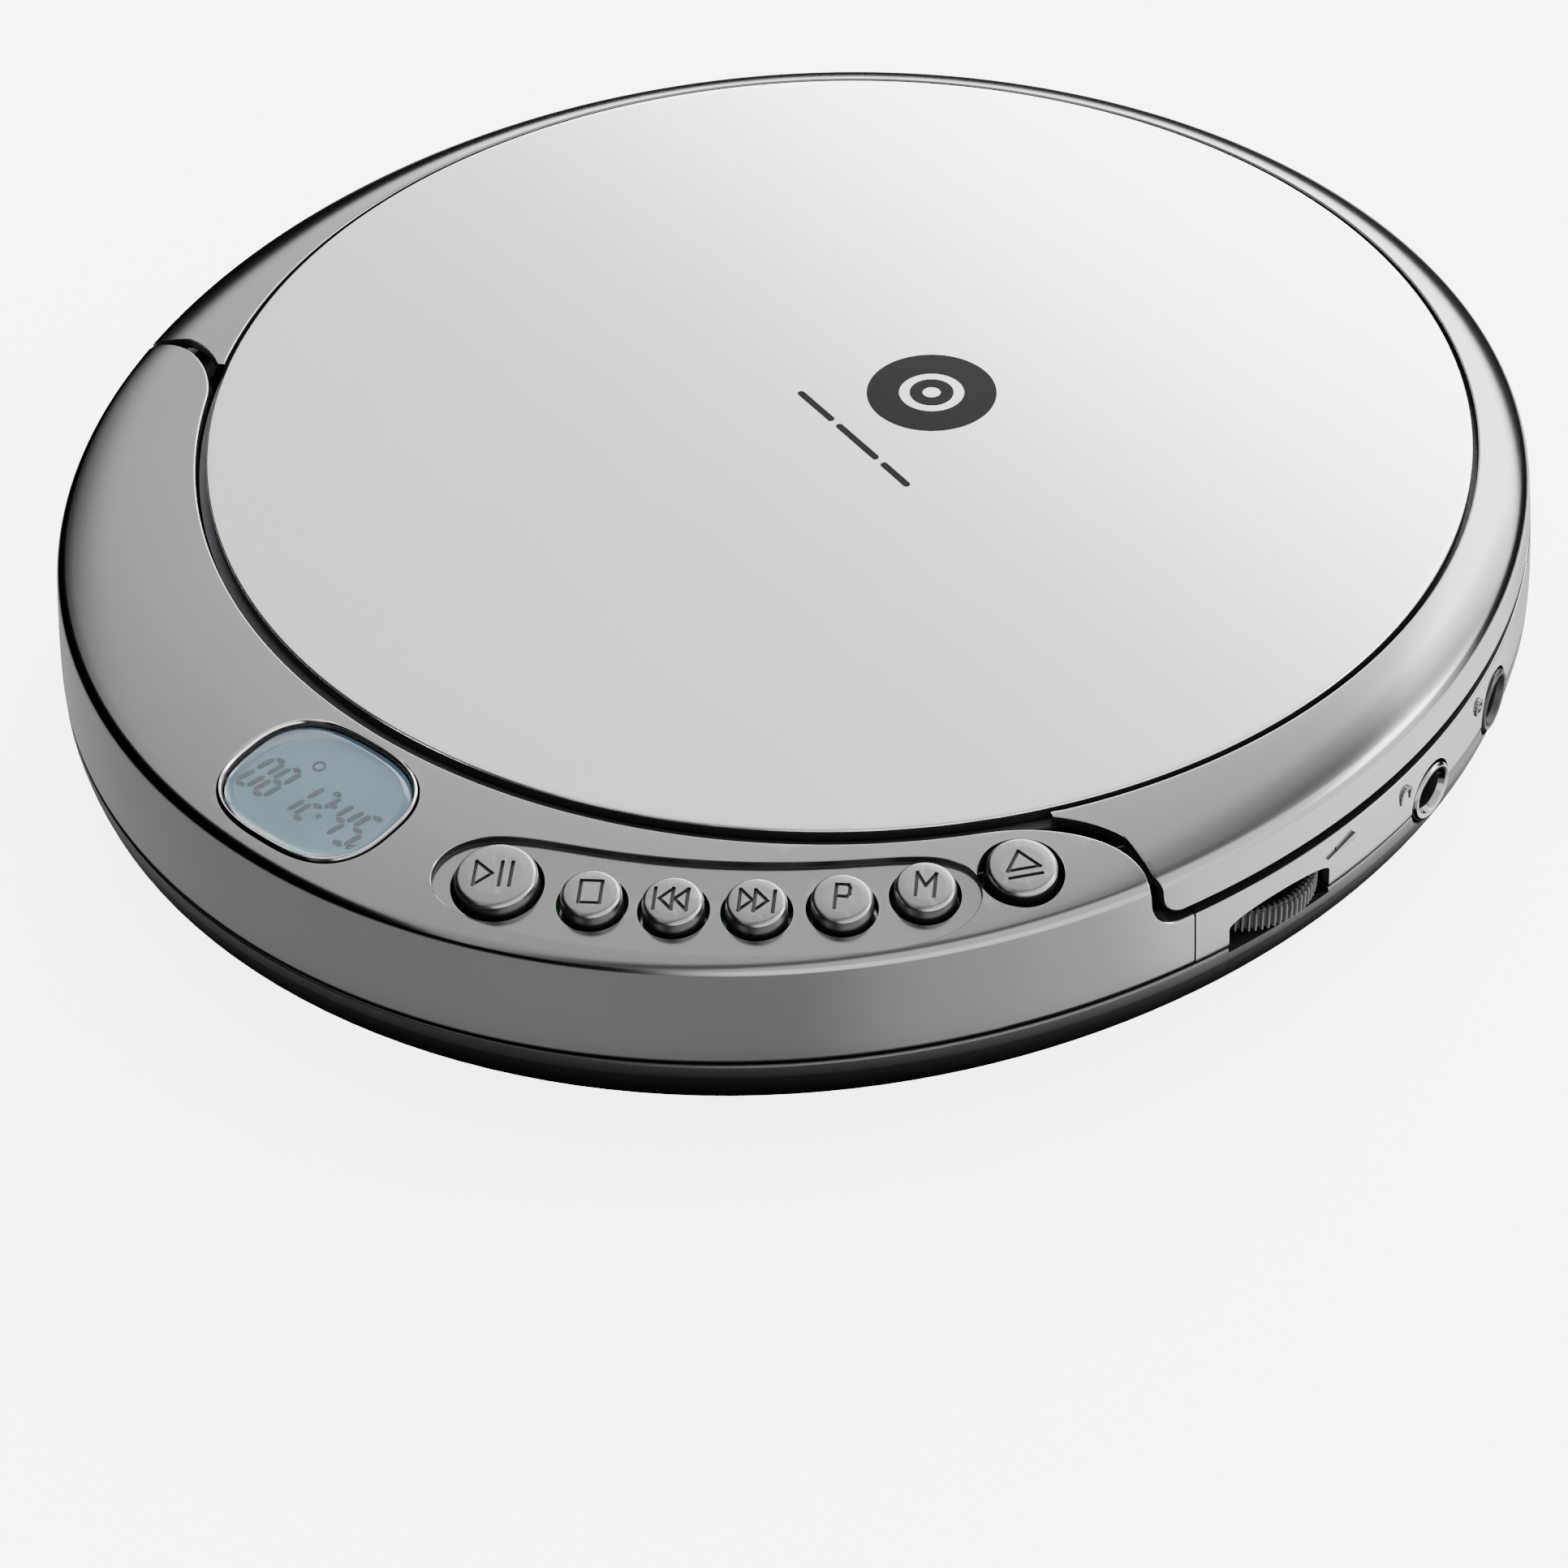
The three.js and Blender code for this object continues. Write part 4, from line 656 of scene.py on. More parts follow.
def skin_column(kind, edge_a, edge_b, deep, lean, soft=0.25, lip=1.2):
    """One closed section of a shell, from its edge a along the outside to its edge b and back inside."""
    (ta, wa), (tb, wb) = edge_a, edge_b

    def at(share):
        return surface(kind, ta + (tb - ta) * share, wa + (wb - wa) * share)

    def inward(share):
        return -outward(kind, ta + (tb - ta) * share, wa + (wb - wa) * share)

    tiny = 1e-3
    pace_a = (at(tiny) - at(0)).length / tiny
    pace_b = (at(1) - at(1 - tiny)).length / tiny
    total = (pace_a + pace_b) / 2
    scale = min(1.0, total / 3.0)
    soft_a = soft * scale / pace_a
    soft_b = soft * scale / pace_b
    out = Vector((math.sin(ta), -math.cos(ta), 0))
    fall = out * -math.sin(lean) + Vector((0, 0, -math.cos(lean)))
    column = [at(0) + fall * deep]
    for a in ARC:
        column.append(at(soft_a * (1 - math.cos(a))) + fall * soft * scale * (1 - math.sin(a)))
    count = len(LEVELS)
    step = 0.0015
    for j, level in enumerate(LEVELS):
        share = (level - wa) / (wb - wa)
        share = max(share, soft_a + step * (j + 1))
        share = min(share, 1 - soft_b - step * (count - j))
        column.append(at(share))
    for a in reversed(ARC):
        share = 1 - soft_b * (1 - math.cos(a))
        column.append(at(share) + inward(share) * soft * scale * (1 - math.sin(a)))
    column.append(at(1) + inward(1) * SKIN)
    back = min(0.4, lip * scale / pace_a)
    for k in range(INSIDE + 1):
        share = 0.97 + (back - 0.97) * k / INSIDE
        column.append(at(share) + inward(share) * SKIN)
    column.append(at(back) + fall * deep)
    return column


def skin_index():
    """Material index round a section: the walls in the gaps and the inside take the black finish, as painted
    shade in the gaps.
    """
    shown = len(ARC) + len(LEVELS) + len(ARC) - 1
    return [1] + [0] * shown + [1] * (INSIDE + 4)


def wall_share(kind, z):
    return 2 + (z - TURN_Z) / (kind["bottom"] - TURN_Z)


def tip_edge(start, end, corner, height, rear_w, climb):
    """The boundary between crescent and lid, from the band round the corner and over the crease."""
    corner_deg = math.degrees(corner / outline(math.radians(end)))
    corner_w = corner / height
    edge = []
    for k in range(9):
        a = math.pi / 2 * k / 8
        edge.append((end + corner_deg * (1 - math.sin(a)), rear_w - corner_w * (1 - math.cos(a))))
    wall_from = rear_w - corner_w
    edge += [(end, wall_from + (2 - wall_from) * k / 3) for k in (1, 2)]
    edge += [(end, 2 - k / 5) for k in range(5)]
    for k in range(19):
        u = math.pi / 2 * (1 - k / 18)
        w = climb(u)
        if w < 0:
            break
        edge.append((start + (end - start) * math.sin(u), w))
    return edge


def spread(first, last, count):
    return [first + (last - first) * i / (count - 1) for i in range(count)]


def lean_of(w):
    """The walls of the gap turn from upright on the top to level on the side."""
    s = min(1.0, w / 2.4)
    return math.pi / 2 * s * s * (3 - 2 * s)


def housing_columns():
    rear = wall_share(HOUSING, BAND_TOP)
    low_rear = wall_share(HOUSING, HINGE_BAND_TOP)
    near = INSERT_DEG[0] - 0.15
    far = INSERT_DEG[1] + 0.15

    def tip(end, way):
        edge = tip_edge(TIP_START, end, HOUSING_CORNER, TURN_Z - SEAM_HIGH, rear, lambda u: 1 - math.cos(u))
        goals = spread(edge[0][0], TIP_START, len(edge))
        return [((way * t, w), way * goal) for (t, w), goal in zip(edge, goals)]

    left_tip = tip(TIP_END["left"], -1)
    right = [((t, rear), t) for t in (near, near - 0.4)]
    front = [((t, 0.0), t) for t in spread(TIP_START, -TIP_START, 82)[1:-1]]
    back = []
    for t in spread(left_tip[0][0][0], far - 360, 90)[1:]:
        back.append(((t, low_rear if abs(t + 180) < 10 else rear), t))
    columns = []
    for (t, w), goal in right + tip(TIP_END["right"], 1) + front + left_tip[::-1] + back:
        a = (math.radians(t), w)
        b = (math.radians(goal), 3.0)
        deep = 6.5 if w < 1 else max(SKIN + 0.5, 6.5 - 4.9 * min(1.0, (w - 1) / 1.2))
        columns.append(skin_column(HOUSING, a, b, deep, lean_of(w)))
    return columns


def lid_half(end):
    """The edges of one half of the lid ring, from its tip to the hinge."""
    skirt = 3.0
    end += math.degrees(GAP / outline(math.radians(end)))
    inner = CRESCENT_R - GAP
    first = LID["inner"][0]
    last = outline(math.radians(end)) - CREASE_INSET - CREASE_REACH

    def climb(u):
        r = inner + (last - inner) * (1 - math.cos(u))
        share = (r - first) / (last - first)
        return share if share > 0.025 else -1

    edge = tip_edge(TIP_START, end, LID_CORNER, TURN_Z - SKIRT_Z, skirt, climb)
    goals = spread(edge[0][0] + 0.6, edge[-1][0], len(edge))
    notch = math.degrees((HINGE["half"] + 0.4) / outline(math.pi))
    notch_w = wall_share(LID, HINGE["z"] + HINGE["r"] + 0.25)
    side = 180 - notch
    step = [
        (side - 0.5, skirt), (side - 0.15, 2.96), (side, 2.8), (side, notch_w + 0.1), (side + 0.2, notch_w),
    ]
    half = list(zip(edge, goals))[::-1]
    half += [((t, skirt), t) for t in spread(edge[0][0] + 1.2, side - 0.9, 56)]
    half += [((t, w), t) for t, w in step]
    half += [((t, notch_w), t) for t in spread(side + 1, 180, 7)]
    return half


def lid_columns():
    right = lid_half(TIP_END["right"])
    left = [((360 - t, w), 360 - goal) for (t, w), goal in reversed(lid_half(TIP_END["left"])[:-1])]
    columns = []
    for (t, w), goal in right + left:
        a = (math.radians(goal), 0.0)
        b = (math.radians(t), w)
        columns.append(skin_column(LID, a, b, SKIN + 0.3, 0.0, soft=0.2, lip=1.0))
    return columns


def surface_patch(kind, t0, t1, w0, w1, steps):
    """A strip of the shell with open ends, as its own piece."""
    columns = []
    for t in spread(math.radians(t0), math.radians(t1), steps):
        columns.append(skin_column(kind, (t, w0), (t, w1), SKIN + 0.2, math.pi / 2, soft=0.12))
    return columns


# ---------------------------------------------------------------- cutters for the controls


def hole(radius, soft=0.13, deep=8.0):
    """A round hole with a broken edge at its mouth; its wall takes the black finish as painted shade round
    the key.
    """
    top = 4.0
    high = 0.3
    mouth = radius + soft + high
    profile = [(0, top), (mouth, top), (mouth, high), (radius, -soft), (radius, -deep), (0, -deep)]
    return turned(profile, 72, [0, 0, 0, 1, 1])


def squared(grow, steps=96):
    """The display's rounded outline."""
    x, y, power = DISPLAY["x"], DISPLAY["y"], DISPLAY["power"]
    points = []
    for i in range(steps):
        a = TAU * i / steps
        c, s = math.cos(a), math.sin(a)
        points.append((
            math.copysign(abs(c) ** (2 / power), c) * (x + grow),
            math.copysign(abs(s) ** (2 / power), s) * (y + grow),
        ))
    return points


def display_hole():
    # The opening's wall and floor take the black finish as painted shade round the display.
    levels = [(0.68, 4.0), (0.68, 0.3), (0.16, -0.22), (0.16, -8)]
    return stacked(squared, levels, [0, 0, 1], 1)


def field_ring(grow, depth, steps=64):
    """One level of the keys' recess, as its inner and outer edge."""
    first, last = KEYS[0], KEYS[-1]
    stretch = math.degrees(grow / first[2])
    left = first[1] - FIELD["before"] - stretch
    right = last[1] + FIELD["after"] + stretch
    from_r = first[2] + FIELD["outward"][0]
    to_r = last[2] + FIELD["outward"][1]
    inner_edge, outer_edge = [], []
    for i in range(steps + 1):
        share = (1 - math.cos(math.pi * i / steps)) / 2
        t = math.radians(left + (right - left) * share)
        middle = from_r + (to_r - from_r) * share
        end = math.sqrt(max(0.0, 1 - abs(2 * share - 1) ** FIELD["sharpness"]))
        half = (FIELD["half"][0] + (FIELD["half"][1] - FIELD["half"][0]) * share + grow) * end
        for edge, r in ((inner_edge, middle - half), (outer_edge, middle + half)):
            inner_r, inner_z = HOUSING["inner"]
            width = outline(t) - CREASE_INSET - inner_r
            s = (r - inner_r) / width
            z = inner_z - (inner_z - CREASE_Z) * s + CROWN * 4 * s * (1 - s)
            edge.append(plan(t, r, z - depth))
    return inner_edge, outer_edge


def field_tool():
    """The shallow recess of the function keys, with a soft rim."""
    levels = [(-0.05, FIELD_DEPTH), (0.0, FIELD_DEPTH - 0.05), (0.02, 0.06), (0.3, -0.22), (0.3, -2.0)]
    across = 6
    rings = []
    for grow, depth in levels:
        inner_edge, outer_edge = field_ring(grow, depth)
        rings.append(inner_edge + outer_edge[::-1][1:-1])
    points, faces, indices = lofted(rings, around=False)
    # The step wall of the recess takes the black finish as painted shade along its rim.
    walls = 2 * len(rings[0])
    indices[:walls] = [1] * walls
    for level in (levels[0], levels[-1]):
        inner_edge, outer_edge = field_ring(*level)
        rows = [[a.lerp(b, k / across) for k in range(across + 1)] for a, b in zip(inner_edge, outer_edge)]
        more = lofted(rows, closed=False, around=False)
        points, faces, indices = together((points, faces, indices), more)
    return points, faces, indices


def stroke(a, b, half, deep, top=0.6):
    """A straight groove between two points of a key's face."""
    (ax, ay), (bx, by) = a, b
    run = Vector((bx - ax, by - ay))
    long = run.length
    turn = Matrix.Translation((ax, ay, 0)) @ Matrix.Rotation(math.atan2(run.y, run.x), 4, "Z")
    ends = [(-half, -half), (long + half, -half), (long + half, half), (-half, half)]

    def outline_at(grow):
        return [(x + math.copysign(grow, x - long / 2), y + math.copysign(grow, y)) for x, y in ends]

    points, faces, indices = moved(stacked(outline_at, [(-half * 0.7, -deep), (half * 0.35, top)]), turn)
    return points, faces, [1] * len(indices)


def icon(lines, size, deg, z, half=0.1, deep=0.2):
    """Engraved lines of a key, as one cutter in the key's own frame."""
    turn = Matrix.Rotation(math.radians(deg), 4, "Z") @ Matrix.Diagonal((*size, 1, 1))
    solids = []
    for line in lines:
        for a, b in zip(line, line[1:]):
            a = (turn @ Vector((*a, 0))).to_2d()
            b = (turn @ Vector((*b, 0))).to_2d()
            apart = 0.006 * len(solids)
            groove = stroke(a, b, half + apart / 5, deep + apart, 0.6 + apart)
            solids.append(moved(groove, Matrix.Translation((0, 0, z))))
    return solids


def triangle(x, w, h, way=1):
    """An outlined arrow head that points along +X or -X, left side at x."""
    if way > 0:
        return [(x, -h), (x, h), (x + w, 0), (x, -h)]
    return [(x + w, -h), (x + w, h), (x, 0), (x + w, -h)]


ICONS = {
    "play_button": [triangle(-1.3, 1.1, 0.75), [(0.35, -0.75), (0.35, 0.75)], [(1.0, -0.75), (1.0, 0.75)]],
    "stop_button": [[(-0.75, -0.8), (0.75, -0.8), (0.75, 0.8), (-0.75, 0.8), (-0.75, -0.8)]],
    "previous_button": [
        [(-1.25, -0.75), (-1.25, 0.75)],
        triangle(-0.9, 0.9, 0.75, -1),
        triangle(0.15, 0.9, 0.75, -1),
    ],
    "next_button": [triangle(-1.15, 0.9, 0.75), triangle(-0.1, 0.9, 0.75), [(1.25, -0.75), (1.25, 0.75)]],
    "program_button": [
        [(-0.45, -0.85), (-0.45, 0.85), (0.35, 0.85), (0.5, 0.65), (0.5, 0.2), (0.35, 0.0), (-0.45, 0.0)],
    ],
    "mode_button": [[(-0.65, -0.8), (-0.65, 0.8), (0.0, -0.1), (0.65, 0.8), (0.65, -0.8)]],
    "open_button": [
        [(-1.0, -0.35), (1.0, -0.35), (0.0, 1.15), (-1.0, -0.35)],
        [(-1.0, -0.95), (1.0, -0.95)],
    ],
}
ICON_SIZE = {"play_button": (1.35, 1.75), "open_button": (1.4, 1.25)}


def key_solid(radius, proud):
    """A cap with a domed face above a narrow flange."""
    flange = radius + 0.3
    return turned(rounded([
        (0, -2.2, 0), (flange, -2.2, 0.1), (flange, -1.9, 0.1), (radius, -1.8, 0.1),
        (radius - 0.04, proud, 0.5),
        (radius * 0.62, proud + 0.1, 0.8), (0, proud + 0.12, 0),
    ], 6, False), 80)


def add_key(key, proud, place, icon_deg):
    name, _, _, radius = key
    parts = icon(ICONS[name], ICON_SIZE.get(name, (1.2, 1.5)), icon_deg, proud)
    cutters = [tool(part, place) for part in parts]
    cap = key_solid(radius, proud)
    piece(name.replace("button", "key"), cap, ["satin_key", "charcoal_wheel"], name, place,
          name, tools=cutters, degrees=28, weighted=True)


def add_keys():
    for key in KEYS:
        add_key(key, KEY_PROUD, crescent_frame(key[1], key[2], RECESS), ICON_DEG - key[1])
    add_key(OPEN_KEY, OPEN_PROUD, crescent_frame(OPEN_KEY[1], OPEN_KEY[2]), 0)


# ---------------------------------------------------------------- shells


def sled_path():
    """Room for the pickup under the front of the disc bay."""
    return tool(block(-15.0, 15.0, -85, -30, 10, DECK[0]), at_spindle())


def add_housing():
    tools = [tool(field_tool())]
    holes = []
    for _, deg, r, radius in KEYS:
        holes.append(moved(hole(radius + KEY_RING), crescent_frame(deg, r, FIELD_DEPTH)))
    tools.append(tool(together(*holes)))
    tools.append(tool(hole(OPEN_KEY[3] + OPEN_RING), crescent_frame(OPEN_KEY[1], OPEN_KEY[2])))
    tools.append(tool(display_hole(), crescent_frame(DISPLAY["deg"], DISPLAY["r"])))
    latch = at_spindle() @ Matrix.Rotation(math.radians(OPEN_KEY[1]), 4, "Z")
    # The latch slot's walls take the black finish as painted shade.
    tools.append(tool(block(-2.6, 2.6, -CRESCENT_R - 3, -CRESCENT_R + 3, 19.7, 21.9, 0.3, 1), latch))
    shell = lofted(housing_columns(), around=False, index=skin_index(), caps=True, cap_index=1)
    piece("housing_shell", shell, ["silver_lacquer", "black_plastic"], "case", None, "upper_housing",
          tools=tools, weighted=True)
    r, wall, (z0, z1) = WELL["r"], WELL["wall"], WELL["z"]
    loop = rounded([(r, z0, 0.1), (r + wall, z0, 0.1), (r + wall, z1, 0.4), (r, z1, 0.4)], 4)
    piece("disc_well", ring_solid(loop, 144), ["silver_lacquer"], "case", at_spindle(), tools=[sled_path()])
    steps = 144
    ledge_z = HINGE_BAND_TOP - 0.15
    rings = []
    for i in range(steps):
        t = TAU * i / steps
        edge = outline(t) - 1.0
        corners = [(r - 2, z0), (edge, z0), (edge, ledge_z), (r - 2, ledge_z - 0.2)]
        loop = rounded([(*corner, 0.1) for corner in corners], 2)
        rings.append([plan(t, lr, lz) for lr, lz in loop])
    # The ledge seen through the lid gap is black as painted shade.
    piece("housing_ledge", lofted(rings), ["black_plastic"], "case", tools=[sled_path()])


def hinge_barrel(x0, x1, web_z0, web_z1, web_y):
    """A knuckle along X with its web."""
    loop = rounded([(0, 0, 0), (HINGE["r"], 0, 0.2), (HINGE["r"], x1 - x0, 0.2), (0, x1 - x0, 0)], 3, False)
    lying = Matrix.Translation((x0, HINGE["y"], HINGE["z"])) @ Matrix.Rotation(math.pi / 2, 4, "Y")
    barrel = moved(turned(loop, 40), lying)
    web = block(x0 + 0.05, x1 - 0.05, HINGE["y"] + web_y[0], HINGE["y"] + web_y[1], web_z0, web_z1, 0.15)
    return together(barrel, web)


def add_hinge():
    middle, half = HINGE["middle"], HINGE["half"]
    knuckle = hinge_barrel(-middle, middle, HINGE_BAND_TOP - 0.5, HINGE["z"], (-1.3, 0.5))
    piece("hinge_middle", knuckle, ["silver_lacquer"], "case", at_spindle())
    near = middle + 0.3
    sides = []
    for a, b in ((near, half), (-half, -near)):
        sides.append(hinge_barrel(a, b, HINGE["z"], CREASE_Z - 0.6, (-1.2, 0.2)))
    piece("hinge_sides", together(*sides), ["silver_lacquer"], "lid", at_spindle())


def socket_frame(socket):
    """The frame of a socket: local Z leads into the case."""
    out = side_frame(socket["deg"])
    return out @ Matrix.Translation((0, 0, socket["z"])) @ Matrix.Rotation(-math.pi / 2, 4, "X")


def side_tools():
    """Openings for the sockets and the volume wheel; their walls take the black finish as painted shade."""
    made = []
    for socket in (PHONES, POWER):
        r = socket["ring"] + 0.3
        profile = [(0, -4.5), (r + 0.25, -4.5), (r + 0.25, -0.1), (r, 0.2), (r, 4), (0, 4)]
        made.append(moved(turned(profile, 64, [0, 0, 0, 1, 1]), socket_frame(socket)))
    half, bottom, shoulder, top = SLOT["half"], SLOT["bottom"], SLOT["shoulder"], SLOT["top"]

    def arch(grow):
        w = half + grow
        points = [(-w, bottom - grow), (w, bottom - grow)]
        for k in range(25):
            a = math.pi * k / 24
            points.append((w * math.cos(a), shoulder + (top + grow - shoulder) * math.sin(a)))
        return points

    turn = side_frame(WHEEL["deg"]) @ Matrix.Rotation(math.pi / 2, 4, "X")
    made.append(moved(stacked(arch, [(0, -4), (0, -0.3), (0.05, 4)], [1, 1], 1), turn))
    return [tool(solid) for solid in made]


def add_side_panel():
    low, high = INSERT_DEG
    top = wall_share(HOUSING, BAND_TOP)
    columns = surface_patch(HOUSING, low, high, top, 3.0, 60)
    strip = lofted(columns, around=False, index=skin_index(), caps=True, cap_index=1)
    piece("side_insert", strip, ["silver_lacquer", "black_plastic"], "case", None, "side_panel",
          tools=side_tools(), weighted=True)


def bowl_profile(t, inset=0.0):
    """The outside of the bottom case, from under the middle up to the seam."""
    edge = outline(t)
    curve = [(-13.5, BASE_Z), (-9.8, 2.3), (-6.7, 4.1), (-4.0, 5.85), (-2.0, 7.55), (-0.8, 9.0), (-0.3, 10.3),
             (-0.05, 11.7), (0.0, SEAM_LOW)]
    return [(edge + offset - inset, z) for offset, z in curve]


def smooth_curve(points, steps=5):
    """A Catmull-Rom curve through points."""
    pts = [np.array(p, float) for p in points]
    pts = [2 * pts[0] - pts[1]] + pts + [2 * pts[-1] - pts[-2]]
    made = []
    for a, b, c, d in zip(pts, pts[1:], pts[2:], pts[3:]):
        for k in range(steps):
            s = k / steps
            bend = 2 * a - 5 * b + 4 * c - d
            twist = 3 * b - a - 3 * c + d
            made.append(0.5 * (2 * b + (c - a) * s + bend * s * s + twist * s ** 3))
    made.append(pts[-2])
    return [tuple(p) for p in made]


def bowl_columns(steps=180, wall=1.6):
    columns = []
    for i in range(steps):
        t = TAU * i / steps
        curve = smooth_curve(bowl_profile(t))
        edge = outline(t)
        flat = [(0, BASE_Z), (20, BASE_Z), (40, BASE_Z), (edge - 15.5, BASE_Z), (edge - 14.2, BASE_Z + 0.06)]
        rim = rounded([(edge, SEAM_LOW - 1.2, 0), (edge, SEAM_LOW, 0.25), (edge - wall, SEAM_LOW, 0.25),
                       (edge - wall - 0.5, 10.4, 0)], 4, False)
        inside = [(edge - 4.4, 8.4), (edge - 8.6, 5.4), (edge - 14, 2.6), (30, 2.6), (0, 2.6)]
        columns.append([plan(t, r, z) for r, z in flat + curve[1:-6] + rim + inside])
    return columns


def bay_block(low, high, grow=0.0, rear=BAY["rear"], index=0):
    """A block over the plan of the battery bay."""
    return block(-BAY["half"] - grow, BAY["half"] + grow, BAY["front"], rear, low, high, 0, index)


def add_bottom():
    columns = bowl_columns()
    count = len(columns[0])
    inner = 6
    # The inside of the shell takes the black finish as painted shade.
    shell = lofted(columns, closed=False, index=[0] * (count - 1 - inner) + [1] * inner)
    behind = 90
    # The door opening's cut walls and the screw wells' walls take the black finish as painted shade.
    doorway = [bay_block(-2, 2.2, 0.9, behind, 1), bay_block(1.45, 2.75, 2.0, behind, 1)]
    cuts = doorway + [bay_block(-2, BAY["top"], index=1)]
    wells = []
    for x, y in SCREWS:
        profile = [
            (0, -1), (3.3, -1), (3.3, BASE_Z - 0.1), (3.05, BASE_Z + 0.02), (2.87, BASE_Z + 0.1),
            (2.8, BASE_Z + 0.28), (2.8, 3.2), (0, 3.2),
        ]
        wells.append(moved(turned(profile, 40, [0, 0, 0, 0, 0, 1, 1]), Matrix.Translation((x, y, 0))))
    tools = [tool(solid, at_spindle()) for solid in cuts + [together(*wells)]] + side_tools()
    piece("bottom_shell", shell, ["graphite_shell", "black_plastic"], "case", None, "bottom_case",
          tools=tools, weighted=True)
    bay = tool(bay_block(0, BAY["top"]), at_spindle())
    walls = block(-33, 33, 11, 45, 2.75, 17.9, 1.0)
    piece("battery_bay", walls, ["black_plastic"], "case", at_spindle(), tools=[bay])


def add_door():
    """The battery door: a slab cut to the outside of the case, with finger grips and two tongues."""
    inner = 8
    hull = [column[:-inner] + [Vector((0, SPINDLE_Y, SEAM_LOW))] for column in bowl_columns(wall=1.0)]
    half, behind = DOOR["half"], 90
    cover = block(-half, half, DOOR["front"], behind, 0, DOOR["top"])
    grips = []
    for i in range(3):
        y = 50 - 2 * i
        grips.append(tool(block(-7, 7, y - 0.8, y, -1, BASE_Z + 0.35), at_spindle()))
    piece("door_cover", cover, ["graphite_shell"], "battery_door", at_spindle(), "battery_door",
          tools=grips, common=[tool(lofted(hull, closed=False))], bevel=0.12, weighted=True)
    tongues = together(*(block(a, b, 13.2, 40, 1.8, 2.4, 0.1) for a, b in ((29.8, 31.2), (-31.2, -29.8))))
    piece("door_tongues", tongues, ["graphite_shell"], "battery_door", at_spindle())


def dome(r):
    edge = PANEL_R - 0.8
    return PANEL_EDGE + (DOME_TOP - PANEL_EDGE) * (1 - (r / edge) ** 2)


def add_lid():
    shell = lofted(lid_columns(), around=False, index=skin_index(), caps=True)
    piece("lid_ring", shell, ["silver_lacquer", "black_plastic"], "lid", None, "lid_frame", degrees=40)
    edge = 0.2
    profile = [(0, PANEL_BOTTOM), (PANEL_R - 0.3, PANEL_BOTTOM), (PANEL_R, PANEL_BOTTOM + 0.2)]
    top = dome(PANEL_R - edge)
    profile += [(PANEL_R - edge * (1 - math.cos(a)), top - edge * (1 - math.sin(a))) for a in ARC]
    profile += [(r, dome(r)) for r in (59.3, 58.6, 57, 54, 50, 45, 40, 35, 30, 24, 18, 12, 6, 0)]
    # The disc's underside and edge take the black finish as painted shade in the groove round the panel.
    disc = turned(profile, 240, [1, 1, 1] + [0] * 30)
    piece("lid_disc", disc, ["lid_mirror", "black_plastic"], "lid", at_spindle(), "lid_panel")
    add_lid_inside()
    add_emblem()


def add_lid_inside():
    """The underside of the lid: a backing with a rim and two stiffening rings, and the latch hook."""
    flange = PANEL_R + 0.8
    low, high = BACKING_Z
    profile = [
        (0, high), (59.6, high), (flange, 24.38), (flange, 24.05), (59.8, 24.0), (59.8, 23.6), (59.6, low),
    ]
    for r, drop in ((56.5, 0.5), (40, 0.4), (22, 0.4)):
        half = [(0.9, 0), (0.55, 0.04), (0.45, drop)]
        profile += [(r + out, low - down) for out, down in half]
        profile += [(r - out, low - down) for out, down in reversed(half)]
    profile += [(0, low)]
    piece("lid_backing", turned(profile, 160), ["charcoal_tray"], "lid", at_spindle())
    turn = at_spindle() @ Matrix.Rotation(math.radians(OPEN_KEY[1]), 4, "Z")
    arm = block(-1.8, 1.8, -59.5, -58.1, 19.8, 23.7, 0.15)
    toe = block(-1.8, 1.8, -60.3, -58.1, 19.8, 20.4, 0.15)
    piece("latch_hook", together(arm, toe), ["charcoal_tray"], "lid", turn)


def draped(loop_points, inner_points, lift=0.04):
    """A thin inlay between two outlines on the domed panel."""
    rings = []
    for (ax, ay), (bx, by) in zip(loop_points, inner_points):
        rows = []
        for share, drop in ((0, 0.3), (0, 0), (1, 0), (1, 0.3)):
            x, y = ax + (bx - ax) * share, ay + (by - ay) * share
            rows.append((x, y, dome(math.hypot(x, y)) + lift - drop))
        rings.append(rows)
    return lofted(rings)


def circle(cx, cy, r, steps=72):
    angles = [TAU * i / steps for i in range(steps)]
    return [(cx + r * math.cos(a), cy + r * math.sin(a)) for a in angles]


def add_emblem():
    """A generic disc sign on the lid: a ring and a small hub, with a thin broken bar beside it."""
    x, y, r = EMBLEM["x"], EMBLEM["y"], EMBLEM["r"]
    solids = [
        draped(circle(x, y, r), circle(x, y, r * 0.5)),
        draped(circle(x, y, r * 0.34), circle(x, y, r * 0.14)),
    ]
    base = Vector(EMBLEM["bars_at"])
    turn = Matrix.Rotation(math.radians(EMBLEM["turn"]), 2)
    thick = 0.35
    for x0, x1 in EMBLEM_BARS:
        middle = Vector(((x0 + x1) / 2, 0))
        half = (x1 - x0) / 2
        corners = ((-half, -thick, 0.3), (half, -thick, 0.3), (half, thick, 0.3), (-half, thick, 0.3))
        outer = [tuple(base + turn @ (Vector(p) + middle)) for p in rounded(corners, 4)]
        centre = base + turn @ middle
        inner = [tuple(centre + (Vector(p) - centre) * 0.02) for p in outer]
        solids.append(draped(outer, inner))
    piece("lid_emblem", together(*solids), ["lid_print_and_wheel_shade"], "lid", at_spindle())


# ---------------------------------------------------------------- display


